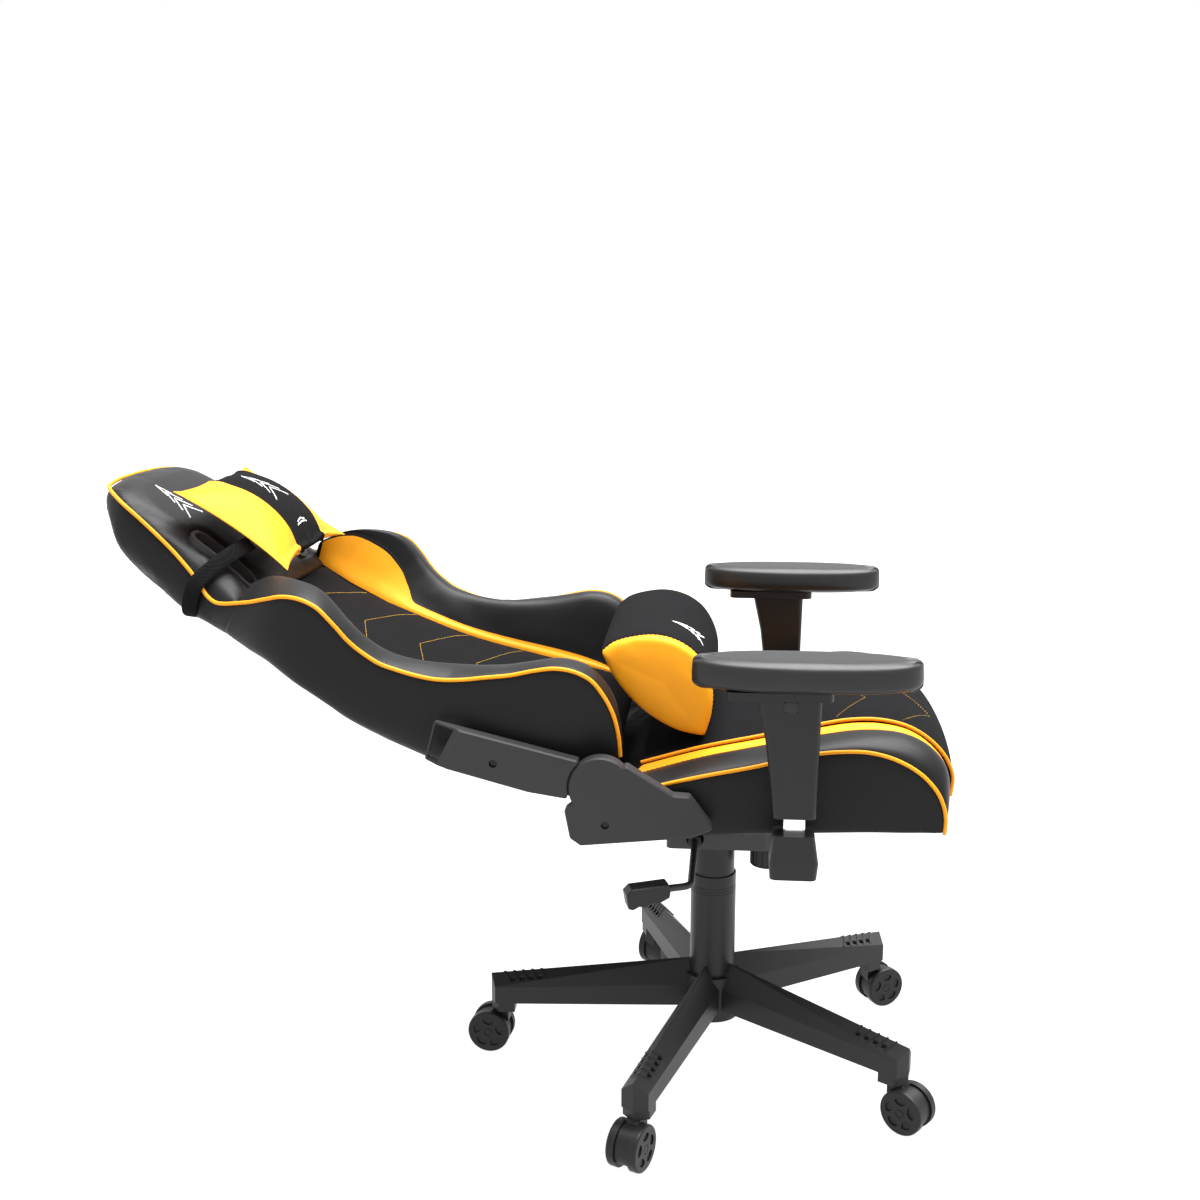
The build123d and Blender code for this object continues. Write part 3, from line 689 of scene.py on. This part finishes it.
# %% Seat bolsters
bolster_steps = 70
bolster_lines = [
    (165.5, [(-92, 483), (-17, 505), (58, 522), (132, 539), (169, 546), (206, 547), (244, 538),
             (272, 520), (290, 499), (299, 476), (297, 450)]),
    (172, [(-92, 480), (-17, 502), (58, 519), (132, 535), (169, 542), (206, 543), (244, 535),
           (268, 518), (284, 497), (291, 470), (289, 446)]),
    (180, [(-92, 475), (-17, 497), (58, 514), (132, 530), (169, 537), (200, 538), (232, 533),
           (259, 517), (276, 497), (283, 470), (281, 442)]),
    (191, [(-92, 476), (-17, 501), (58, 519), (110, 531), (154, 539), (202, 543), (238, 538),
           (265, 522), (281, 502), (287, 476), (284, 440)]),
    (208, [(-92, 478), (-17, 503), (58, 521), (110, 533), (154, 542), (202, 546), (240, 541),
           (269, 526), (285, 505), (290, 480), (286, 438)]),
    (226, [(-92, 477), (-17, 501), (58, 519), (106, 531), (150, 540), (196, 543), (236, 537),
           (266, 521), (284, 500), (288, 472), (285, 436)]),
    (241, [(-91, 474), (-17, 498), (57, 514), (104, 527), (150, 535), (192, 537), (233, 529),
           (263, 510), (280, 485), (285, 458), (282, 433)]),
    (250, [(-88, 474), (-69, 480), (-15, 494), (57, 510), (105, 523), (152, 530), (188, 530),
           (224, 520), (254, 501), (273, 477), (281, 448), (280, 430)]),
]
bolster_bottom = smooth([(-150, 409), (-60, 413.5), (60, 420), (180, 426), (246, 429), (268, 431)],
                        bolster_steps)
hinge_arc = np.array([(-91, 466), (-98, 457), (-112, 448), (-130, 443), (-150, 440)])


def bolster_rings(side):
    columns = [(y, smooth(line, bolster_steps)) for y, line in bolster_lines]
    outer = columns[-1][1]
    toward_rear = np.clip(1 - np.arange(bolster_steps) / 9, 0, 1)[:, None] ** 2
    side_places = zip((0.14, 0.35, 0.6, 0.82, 0.95), hinge_arc, (251, 250.5, 250, 249.5, 248.5))
    for share, rear, y in side_places:
        column = outer * (1 - share) + bolster_bottom * share
        column = column + (rear - column[0]) * toward_rear
        columns.append((y, column))
    columns.append((244, bolster_bottom))
    columns.append((232.5, bolster_bottom + (0, 1)))
    columns.append((232, bolster_bottom + (0, 13)))
    columns.append((172, bolster_bottom + (0, 13)))
    for share, rear in ((0.6, hinge_arc[3]), (0.3, hinge_arc[1])):
        column = columns[0][1] * (1 - share) + (bolster_bottom + (0, 13)) * share
        columns.append((166.5, column + (rear - column[0]) * toward_rear))
    points = np.stack([on_seat(line[:, 0], side * y, line[:, 1]) for y, line in columns], 1)
    return points


for side, side_name in ((-1, "right"), (1, "left")):
    rings = bolster_rings(side)
    bolster = loft(f"seat_bolster_{side_name}", rings, black_leather, yellow_leather)
    by_column(bolster, rings, 0, 2, 1)
    seams = np.concatenate([rings[:, 0], rings[:, 2], rings[:, 7]])
    held = near(corners(bolster), seams, 1.5)
    held |= corners(bolster)[:, 2] < 432 * MM
    swell(bolster, 3.5, 4, held)
    divide(bolster)
    pull_seam(bolster, rings[:, 2], 3.0, 1.6)
    pull_seam(bolster, rings[:, 7], 4.0, 1.2)
    settle(bolster, "seat", "black_leather", ["seat_bolsters"], fill=0.8)
    pipe(f"seat_piping_outer_{side_name}", [rings[:, 7]], "seat", 2.4)
    pipe(f"seat_piping_inner_{side_name}", [rings[:, 0] + np.array([0, -side * 0.5, 0.8]) * MM],
         "seat", 2.3)

# %% [markdown]
# ## Backrest
# The back has a nearly flat woven centre between two tall wings, and a headrest above. A
# wing is widest at its shoulder. Its inner face falls steeply to the centre's seam, where a
# yellow strip runs up from the waist and widens into a leaf-shaped shoulder panel. Its front
# is gently rounded out to the piping, and its side is one broad leather panel.

# %% Lines of the back
back_seam = [(-5, 30), (55, 17), (144, -6), (250, -30), (339, -40), (400, -45), (439, -46),
             (470, -42), (505, -34)]
back_rear = [(-6, -30), (60, -58), (150, -80), (234, -91), (305, -90), (380, -77), (459, -71),
             (505, -79)]
back_half_width = [(-8, 228), (60, 243), (150, 243), (240, 240), (330, 252), (400, 262),
                   (455, 246), (505, 205), (545, 178), (600, 163), (660, 155), (700, 148),
                   (735, 118), (750, 60), (753, 0)]
wing_piping = [(-6, 33), (9, 57), (29, 80), (49, 95), (71, 105), (93, 105), (116, 97), (136, 83),
               (160, 63), (186, 45), (212, 27), (239, 13), (268, 5), (287, 2), (307, 0), (325, 2),
               (340, 5), (355, 10), (372, 18), (389, 25), (402, 29), (419, 29), (435, 25),
               (452, 16), (470, 0), (492, -21), (508, -34)]
wing_crest = [(-7, 34), (12, 64), (45, 99), (85, 112), (115, 104), (140, 86), (167, 67), (221, 36),
              (273, 14), (305, 8), (325, 9), (346, 14), (372, 24), (396, 35), (418, 40), (442, 36),
              (467, 26), (487, 13), (500, -2), (508, -13)]
WING_SEAM_Y = 166
wing_steps = 84
print("wing lines reach", wing_crest[-1][0], "mm up the back")
wing_seam_line = smooth(back_seam, wing_steps)
wing_crest_line = smooth(wing_crest, wing_steps)
wing_pipe_line = smooth(wing_piping, wing_steps)
wing_rear_line = smooth(back_rear, wing_steps)
wing_half_width = value_at(back_half_width, wing_pipe_line[:, 0])


def panel_share(u):
    """How far up the wing's inner face the yellow leather reaches, from 0 to 1."""
    strip = np.interp(u, [20, 60, 300, 345], [0.03, 0.12, 0.22, 0.2])
    leaf = np.interp(u, [338, 347, 360, 380, 407, 435, 460, 500],
                     [0, 0.2, 0.45, 0.64, 0.74, 0.83, 0.92, 0.97])
    return np.maximum(strip, leaf)


def inner_face(share):
    """A line part of the way from the seam up to the wing's crest, hollow near the seam."""
    rise = share ** 1.35
    u = wing_seam_line[:, 0] * (1 - share) + wing_crest_line[:, 0] * share
    v = wing_seam_line[:, 1] * (1 - rise) + wing_crest_line[:, 1] * rise
    y = WING_SEAM_Y + (wing_half_width - 46 - WING_SEAM_Y) * share ** 0.8
    return u, y, v


# %% Wings
def wing_rings(side):
    edge = panel_share(wing_seam_line[:, 0])
    points = []
    for part in (0.0, 0.33, 0.67, 1.0, 1.25, 1.5, 1.75, 2.0):
        share = edge * part if part <= 1 else edge + (1 - edge) * (part - 1)
        u, y, v = inner_face(share)
        points.append(on_back(u, side * y, v))
    width = wing_half_width
    crest, outer, rear = wing_crest_line, wing_pipe_line, wing_rear_line
    for inset, share, lift in ((30, 0.35, 1.5), (14, 0.7, 1.5), (4, 0.95, 0.8)):
        line = crest * (1 - share) + outer * share
        points.append(on_back(line[:, 0], side * (width - inset), line[:, 1] + lift))
    points.append(on_back(outer[:, 0], side * width, outer[:, 1]))
    for share, bulge in ((0.1, 0.5), (0.3, 1), (0.5, 1), (0.7, 0.5), (0.88, -2)):
        line = outer * (1 - share) + rear * share
        points.append(on_back(line[:, 0], side * (width + bulge), line[:, 1]))
    points.append(on_back(rear[:, 0], side * (width - 7), rear[:, 1] + 2.5))
    for y in (220, 195, WING_SEAM_Y):
        across = np.minimum(y, width - 14)
        points.append(on_back(rear[:, 0], side * across, rear[:, 1]))
    return np.stack(points, 1)


wings = []
leaf_start = int(wing_steps * 0.74)
for side, side_name in ((-1, "right"), (1, "left")):
    rings = wing_rings(side)
    wing = loft(f"back_wing_{side_name}", rings, black_leather, yellow_leather)
    by_column(wing, rings, 0, 3, 1)
    held = near(corners(wing), np.concatenate([rings[:, 0], rings[:, 3], rings[:, 11]]), 1.5)
    swell(wing, 3.0, 4, held)
    divide(wing)
    pull_seam(wing, rings[:, 3], 3.0, 1.0)
    pull_seam(wing, rings[:, 11], 4.0, 1.2)
    settle(wing, "backrest", "black_leather", ["back_wings"], fill=0.85)
    wings.append(wing)
    leaf = rings[leaf_start:wing_steps - 3]
    stitch(f"wing_panel_thread_{side_name}", [wing], [leaf[:, 4] * 0.12 + leaf[:, 3] * 0.88],
           "backrest", black_thread)

# %% Back centre
centre_rings = []
centre_u = np.concatenate([np.linspace(-2, 478, 68), [484, 488]])
for u in centre_u:
    front, rear = value_at(back_seam, u), value_at(back_rear, u) + 1
    across = np.linspace(-1, 1, 41)
    end_fall = 4 * max(0, (u - 478) / 10) ** 2
    crown = 5 * (1 - np.abs(across) ** 3) - 2 - end_fall
    ring_front = on_back(u, across * (WING_SEAM_Y - 0.5), front + crown)
    ring_rear = on_back(u, np.linspace(1, -1, 25) * (WING_SEAM_Y - 0.5), rear)
    centre_rings.append(np.concatenate([ring_front, ring_rear]))
back_centre = loft("back_centre", centre_rings, back_cloth)
centre_points = corners(back_centre)
held = np.abs(np.abs(centre_points[:, 1]) - (WING_SEAM_Y - 0.5) * MM) < 1 * MM
swell(back_centre, 3.0, 3, held)
divide(back_centre)
settle(back_centre, "backrest", "centre_fabric", ["back_cushion"], fill=0.7)

# %% [markdown]
# ## Headrest
# The headrest is one stuffed leather block. Its outline narrows up to a rounded crown, its
# front bulges a little, and piping runs round the edge. Two belt slots go right through it,
# so they are cut out of the block before it is remeshed and swollen.

# %% Headrest block
head_front = [(487, -42), (500, -36), (530, -24), (568, -14), (602, -8), (644, -1), (692, 6),
              (718, 7), (738, 1), (753, -8)]
head_rear = [(487, -76), (525, -83), (577, -89), (640, -78), (688, -62), (715, -42), (744, -24),
             (753, -16)]
head_piping = [(500, -27), (513, -38), (537, -52), (552, -51), (568, -43), (602, -30), (654, -15),
               (706, -5), (734, -5), (753, -9)]
crown_curve = np.array([(u, y) for u, y in smooth(back_half_width, 500) if u > 488])
head_u = np.concatenate([np.linspace(489, 735, 60), [738, 741, 743.5, 746, 748, 750, 751.5, 752.6]])
head_rings = []
for u in head_u:
    width = max(2.0, np.interp(u, crown_curve[:, 0], crown_curve[:, 1]))
    if u < 500:
        width = min(width, 204)
    front, rear, seam = (value_at(line, u) for line in (head_front, head_rear, head_piping))
    soft = min(26, width * 0.45)
    half = [(0, front + 3), (0.35 * width, front + 2.5), (0.65 * width, front + 1),
            (width - soft, front - 1.5), (width - soft * 0.45, front * 0.72 + seam * 0.28 - 1),
            (width - soft * 0.12, front * 0.3 + seam * 0.7 + 1), (width, seam),
            (width + 0.5, seam * 0.7 + rear * 0.3), (width - 1, seam * 0.35 + rear * 0.65),
            (width - 0.16 * soft, seam * 0.1 + rear * 0.9 + 1), (width - 0.6 * soft, rear),
            (0.5 * width, rear - 1), (0, rear - 1.5)]
    half = smooth(half, 44)
    whole = np.concatenate([half, (half * (-1, 1))[::-1][1:-1]])
    head_rings.append(on_back(u, whole[:, 0], whole[:, 1]))
head_block = loft("head_block", head_rings, black_leather)


def slot_plug(side):
    """A rounded bar that cuts one belt slot."""
    arc = np.linspace(0, 2 * np.pi, 40, endpoint=False)
    reach_u, reach_y, round_r = 51.5, 20.5, 15.5
    u = 562 + np.sign(np.cos(arc)) * (reach_u - round_r) + round_r * np.cos(arc)
    y = 118 + np.sign(np.sin(arc)) * (reach_y - round_r) + round_r * np.sin(arc)
    return loft(f"slot_plug_{side}", [on_back(u, side * y, v) for v in (-130, 40)], black_leather)


for side in (-1, 1):
    plug = slot_plug(side)
    cutter = head_block.modifiers.new("belt_slot", "BOOLEAN")
    cutter.object = plug
    cutter.solver = "EXACT"
    bake(head_block)
    bpy.data.objects.remove(plug)
evener = head_block.modifiers.new("even_mesh", "REMESH")
evener.mode = "VOXEL"
evener.voxel_size = 5 * MM
bake(head_block)
head_block.data.shade_smooth()
swell(head_block, 2.0, 3)
divide(head_block)
head_block.data.materials.clear()
head_block.data.materials.append(black_leather)
settle(head_block, "backrest", "black_leather", ["back_head"], fill=0.85)

# %% Piping of the back
crown_line = np.array([(u, y) for u, y in crown_curve if u > 508])
crown_v = value_at(head_piping, crown_line[:, 0])
over_head = on_back(crown_line[:, 0], crown_line[:, 1], crown_v)
left_wing_pipe = on_back(wing_pipe_line[:-2, 0], wing_half_width[:-2], wing_pipe_line[:-2, 1])
half_pipe = smooth(np.concatenate([left_wing_pipe, over_head[::9]]) / MM, 330) * MM
flip = np.array([1, -1, 1])
whole_pipe = np.concatenate([half_pipe, (half_pipe * flip)[::-1][1:]])
pipe("back_piping", [whole_pipe], "backrest", 2.5)

# %% [markdown]
# ## Loose pillows
# The head pillow is two panels sewn round the edge. Its four corners stand out, its sides
# pull in between them, and two seams part the black middle from the yellow ends. The lumbar
# pillow is a roll with a leaf-shaped section: a black wrap with stuffed yellow end panels.

# %% Head pillow
PILLOW_BAND = 0.405
PILLOW_HALF_WIDTH = 148
PILLOW_MIDDLE_U = 564
pillow_along = np.sin(np.linspace(-1, 1, 41) * math.pi / 2)
pillow_across = np.concatenate([
    np.linspace(-1, -PILLOW_BAND, 17), np.linspace(-PILLOW_BAND, PILLOW_BAND, 27)[1:-1],
    np.linspace(PILLOW_BAND, 1, 17)])
a, b = np.meshgrid(pillow_along, pillow_across, indexing="ij")
pillow_u = PILLOW_MIDDLE_U + a * (73 + 15 * np.abs(b) ** 3)
pillow_y = b * PILLOW_HALF_WIDTH * (1 - 0.11 * (1 - a ** 2) * np.abs(b))
pillow_middle = 19 + (pillow_u - 476) * 0.12
fullness = np.clip(1 - a ** 2, 0, 1) ** 0.55 * np.clip(1 - np.abs(b) ** 2.2, 0, 1) ** 0.85
rows, columns = a.shape
front_side = on_back(pillow_u, pillow_y, pillow_middle + 42 * fullness)
back_side = on_back(pillow_u, pillow_y, pillow_middle - 21 * fullness)
pillow_points = np.concatenate([front_side.reshape(-1, 3), back_side.reshape(-1, 3)])
pillow_faces = []
for layer in (0, rows * columns):
    for i in range(rows - 1):
        for j in range(columns - 1):
            corner = layer + i * columns + j
            pillow_faces.append((corner, corner + 1, corner + columns + 1, corner + columns))
head_pillow = skin("head_pillow_soft", pillow_points, pillow_faces, yellow_leather, pillow_cloth)
for polygon in head_pillow.data.polygons:
    side_share = abs(polygon.center[1]) / (PILLOW_HALF_WIDTH * MM)
    polygon.material_index = int(side_share < PILLOW_BAND * 0.985)
pillow_rim = np.concatenate([front_side[0], front_side[-1], front_side[:, 0], front_side[:, -1]])
swell(head_pillow, 3.0, 5, near(corners(head_pillow), pillow_rim, 0.5))
divide(head_pillow)
band_columns = [16, columns - 17]
band_seams = [np.concatenate([front_side[:, c], back_side[::-1, c]]) for c in band_columns]
for seam in band_seams:
    pull_seam(head_pillow, seam, 4.0, 2.2)
pull_seam(head_pillow, pillow_rim, 3.0, 0.8)
settle(head_pillow, "backrest", "pillow_fabric", ["head_pillow"], fill=0.8)

# %% Lumbar pillow
lumbar_back = smooth([(-97, 84), (-63, 74), (-37, 73), (-10, 76), (18, 84), (48, 98),
                      (77, 119)], 26)
lumbar_belly = smooth([(77, 119), (69, 138), (50, 157), (24, 174), (-4, 181), (-32, 178),
                       (-56, 165), (-76, 145), (-90, 116), (-97, 84)], 44)
lumbar_outline = np.concatenate([lumbar_back[:-1], lumbar_belly[:-1]])
lumbar_middle = np.array([-12, 122])
lumbar_y = np.concatenate([[-162, -161, -158.5, -154, -148], np.linspace(-143, 143, 38),
                           [148, 154, 158.5, 161, 162]])
LUMBAR_SEAM_Y = 148
lumbar_size = np.interp(np.abs(lumbar_y), [0, 100, 143, 148, 154, 158.5, 161, 162],
                        [1.0, 0.995, 0.985, 0.975, 0.95, 0.915, 0.87, 0.82])
lumbar_rings = []
for y, share in zip(lumbar_y, lumbar_size):
    ring_line = lumbar_middle + (lumbar_outline - lumbar_middle) * share
    lumbar_rings.append(on_back(ring_line[:, 0], y, ring_line[:, 1]))
lumbar = loft("lumbar_pillow_soft", lumbar_rings, pillow_cloth, yellow_leather, cap_steps=8)
for polygon in lumbar.data.polygons:
    polygon.material_index = int(abs(polygon.center[1]) > (LUMBAR_SEAM_Y + 0.2) * MM)
lumbar_seams = [np.concatenate([lumbar_rings[4], lumbar_rings[4][:1]]),
                np.concatenate([lumbar_rings[-5], lumbar_rings[-5][:1]])]
lumbar_tips = np.concatenate([np.array(lumbar_rings)[:, 0], np.array(lumbar_rings)[:, 25]])
held = near(corners(lumbar), np.concatenate(lumbar_seams + [lumbar_tips]), 0.5)
swell(lumbar, 3.0, 4, held)
divide(lumbar)
for seam in lumbar_seams:
    pull_seam(lumbar, seam, 3.5, 1.6)
settle(lumbar, "lumbar", "pillow_fabric", ["lumbar_pillow"], fill=0.85)

# %% [markdown]
# ## Head strap
# The pillow hangs on one flat elastic strap that goes round the back of the headrest. A flat ribbon is simplest as
# a row of cross-sections: its own normal points out from the middle of the headrest, and it keeps a clear
# millimetre off the leather.


# %% Ribbons
def ribbon(name, line, facing, half_width_mm, thick_mm, finish):
    """A flat strip along a line, crowned a little, with closed ends."""
    along = np.gradient(line, axis=0)
    across = np.cross(facing, along)
    across /= np.linalg.norm(across, axis=1, keepdims=True)
    half = np.broadcast_to(np.asarray(half_width_mm, float), len(line))[:, None] * MM
    thick = thick_mm * MM
    shape = [(-1, 0.15), (-0.93, 0.8), (-0.5, 0.95), (0, 1), (0.5, 0.95), (0.93, 0.8), (1, 0.15),
             (0.9, 0), (0, 0), (-0.9, 0)]
    rings = np.stack([line + across * half * s + facing * thick * t for s, t in shape], 1)
    return loft(name, rings, finish, cap_steps=2)


strap_half = smooth([(540, 118, 20), (552, 146, 0), (563, 168, -26), (568, 178, -44),
                     (566, 177, -66), (562, 167, -86), (556, 142, -94), (552, 80, -94),
                     (550, 0, -94)], 60)
strap_route = np.concatenate([strap_half * (1, -1, 1), strap_half[::-1][1:]])
strap_line = on_back(strap_route[:, 0], strap_route[:, 1], strap_route[:, 2])
strap_middle = on_back(554, 0, -48)
strap_out = strap_line - strap_middle
strap_out -= (strap_out @ UP_BACK)[:, None] * UP_BACK * 0.9
strap_run = np.gradient(strap_line, axis=0)
strap_run /= np.linalg.norm(strap_run, axis=1, keepdims=True)
strap_facing = strap_out - (strap_out * strap_run).sum(1, keepdims=True) * strap_run
strap_facing /= np.linalg.norm(strap_facing, axis=1, keepdims=True)
strap = ribbon("head_strap_woven", strap_line, strap_facing, 10.5, 1.5, elastic)
settle(strap, "backrest", "elastic_webbing", ["head_strap"])

# %% [markdown]
# ## Armrest pads
# The pads are moulded soft foam: a broad flat top with a tight round edge, a low side, and an
# underside that falls away to the mounting plate. Each pad is a row of cross-sections from
# its back end to its front end, and both ends are rounded in plan.


# %% Armrest pads
pad_skin = leather("pad_skin", (0.011, 0.011, 0.0115), 0.4, 0.9, 0.05, 0.35)
for side_name in ("left", "right"):
    pad_low, pad_high = (np.array(v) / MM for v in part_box(f"armrest_pad_{side_name}"))
    pad_middle, pad_half = (pad_low + pad_high) / 2, (pad_high - pad_low) / 2
    pad_rings = []
    for along in np.sin(np.linspace(-1, 1, 61) * math.pi / 2) * 0.9995:
        round_end = (1 - abs(along) ** 2.8) ** (1 / 2.1)
        width = pad_half[1] * round_end
        rim = min(10, width * 0.5)
        thin = (1 - min(1, round_end * 1.7)) ** 2
        top, belly = pad_high[2] - 6 - 5 * thin, pad_low[2] + 1 + 9 * thin
        low_side = belly + 6
        half = [(0, top), (width * 0.5, top - 0.2), (width - rim, top - 1),
                (width - rim * 0.3, top - 4), (width, top * 0.62 + belly * 0.38),
                (width - rim * 0.15, low_side), (width - rim, belly + 1.5),
                (width * 0.5, belly), (0, belly)]
        half = smooth(half, 34)
        whole = np.concatenate([half, (half * (-1, 1))[::-1][1:-1]])
        pad_rings.append(np.column_stack([np.full(len(whole), pad_middle[0] + pad_half[0] * along),
                                          pad_middle[1] + whole[:, 0], whole[:, 1]]) * MM)
    pad = loft(f"armrest_pad_soft_{side_name}", pad_rings, pad_skin)
    swell(pad, 1.5, 1)
    divide(pad)
    settle(pad, f"armrest_{side_name}", "pad_foam", [f"armrest_pad_{side_name}"], fill=1.0)

# %% [markdown]
# ## Decorative stitching and embroidery
# Thin yellow lines of thread cross the woven panels in chevrons. The headrest and the two
# pillows carry a plain embroidered mark: nested chevrons in white satin stitch, which is the
# same stitch laid close together and turned across the line.


# %% Chevron quilting on the back and seat
def dense(points, count=90):
    """Even steps along straight runs between the given points."""
    given = np.array(points, float)
    at = np.concatenate([[0], np.cumsum(np.linalg.norm(np.diff(given, axis=0), axis=1))])
    want = np.linspace(0, at[-1], count)
    return np.stack([np.interp(want, at, given[:, k]) for k in range(given.shape[1])], -1)


back_quilting = []
for edge_u in (86, 168, 250, 332, 412):
    chevron = dense([(edge_u, -150), (edge_u + 45, 0), (edge_u, 150)])
    above_cloth = value_at(back_seam, chevron[:, 0]) + 6
    back_quilting.append(on_back(chevron[:, 0], chevron[:, 1], above_cloth))
stitch("back_quilting", [back_centre], back_quilting, "backrest", yellow_thread,
       size_mm=(3.6, 0.6, 0.5))
seat_quilting = []
for edge_x in (68, 153, 238):
    zigzag = dense([(edge_x + 1, -147), (edge_x + 42, -75), (edge_x, 0), (edge_x + 42, 75),
                    (edge_x + 1, 147)])
    height = value_at([(-92, 487), (58, 527), (190, 552), (236, 549), (272, 536), (295, 512)],
                      zigzag[:, 0])
    seat_quilting.append(on_seat(zigzag[:, 0], zigzag[:, 1], height))
stitch("seat_quilting", [seat_centre], seat_quilting, "seat", yellow_thread,
       size_mm=(2.6, 0.5, 0.4))


# %% Embroidered marks
def mark_lines(width, height, step, count):
    """Nested chevrons round the middle of a mark, as flat lines of (across, up)."""
    lines = []
    for index in range(count):
        reach = width / 2 * (1 - 0.22 * index)
        base = index * step - step * (count - 1) / 2
        lines.append(dense([(-reach, base - height / 2), (0, base + height / 2),
                            (reach, base - height / 2)], 60))
    return lines


def embroider(name, piece, body, middle, across_way, up_way, width, height, step, count=4):
    lines = []
    for line in mark_lines(width, height, step, count):
        lines.append(np.array([middle + (p[0] * across_way + p[1] * up_way) * MM for p in line]))
    return stitch(name, [piece], lines, body, white_thread, "emblem_thread", 0.8,
                  (0.75, 3.0, 0.5), 0.1)


embroider("head_mark", head_block, "backrest", on_back(666, -62, 8), CHAIR_LEFT, UP_BACK,
          46, 22, 15)
embroider("head_pillow_mark", head_pillow, "backrest", on_back(585, 0, 75), CHAIR_LEFT, UP_BACK,
          54, 24, 15)
embroider("head_pillow_bars", head_pillow, "backrest", on_back(512, -6, 52), CHAIR_LEFT,
          UP_BACK, 40, 4, 6, 2)
lumbar_up = UP_BACK * 0.92 - OUT_FRONT * 0.39
embroider("lumbar_mark", lumbar, "lumbar", on_back(-22, -62, 180), CHAIR_LEFT, lumbar_up,
          46, 20, 13)

# %% [markdown]
# ## Tread ribs on the base
# Near each leg's end, five raised arrowheads lie over the ridge between the slots, for grip.
# They follow a bent line each, so the piping recipe's sweep suits them too, with a flat
# profile in place of the round one.

# %% Tread ribs
tread = Recipe("tread", Width="NodeSocketFloat", Height="NodeSocketFloat",
               Finish="NodeSocketMaterial")
tread_line = tread.node("GeometryNodeMeshToCurve", sockets={0: tread.given["Geometry"]})
tread_bar = tread.node("GeometryNodeCurvePrimitiveQuadrilateral", sockets={
    "Width": tread.given["Width"], "Height": tread.given["Height"]})
tread_rib = tread.node("GeometryNodeCurveToMesh", sockets={
    "Curve": tread_line, "Profile Curve": tread_bar, "Fill Caps": True})
tread.end(tread_rib, tread.given["Finish"])
FIRST_LEG_DEG = 181.2
RIDGE_START_X, RIDGE_START_Z, RIDGE_FALL = 18, 148.2, 0.1182
ROOF_SLOPE = 0.833
rib_lines = []
for leg in range(5):
    angle = math.radians(FIRST_LEG_DEG + 72 * leg)
    for gap_x in (237.5, 250.5, 263.5, 276.5, 289.5):
        for side in (-1, 1):
            rib = []
            for y, x in ((13.2, gap_x - 3.5), (6.6, gap_x + 1.8), (0, gap_x + 6.5)):
                ridge_z = RIDGE_START_Z - (x - RIDGE_START_X) * RIDGE_FALL
                rib.append((x * math.cos(angle) - side * y * math.sin(angle),
                            x * math.sin(angle) + side * y * math.cos(angle),
                            ridge_z - ROOF_SLOPE * y + 0.3))
            rib_lines.append(np.array(rib) * MM)
ribs = tread.make("base_tread", rib_lines, Width=2.0 * MM, Height=2.6 * MM,
                  Finish=frame_finishes["base_plastic"])
for polygon in ribs.data.polygons:
    polygon.use_smooth = False
settle(ribs, "base", "base_plastic")

# %% [markdown]
# ## The last step
# The view layer is brought up to date.

# %% Update the scene
bpy.context.view_layer.update()
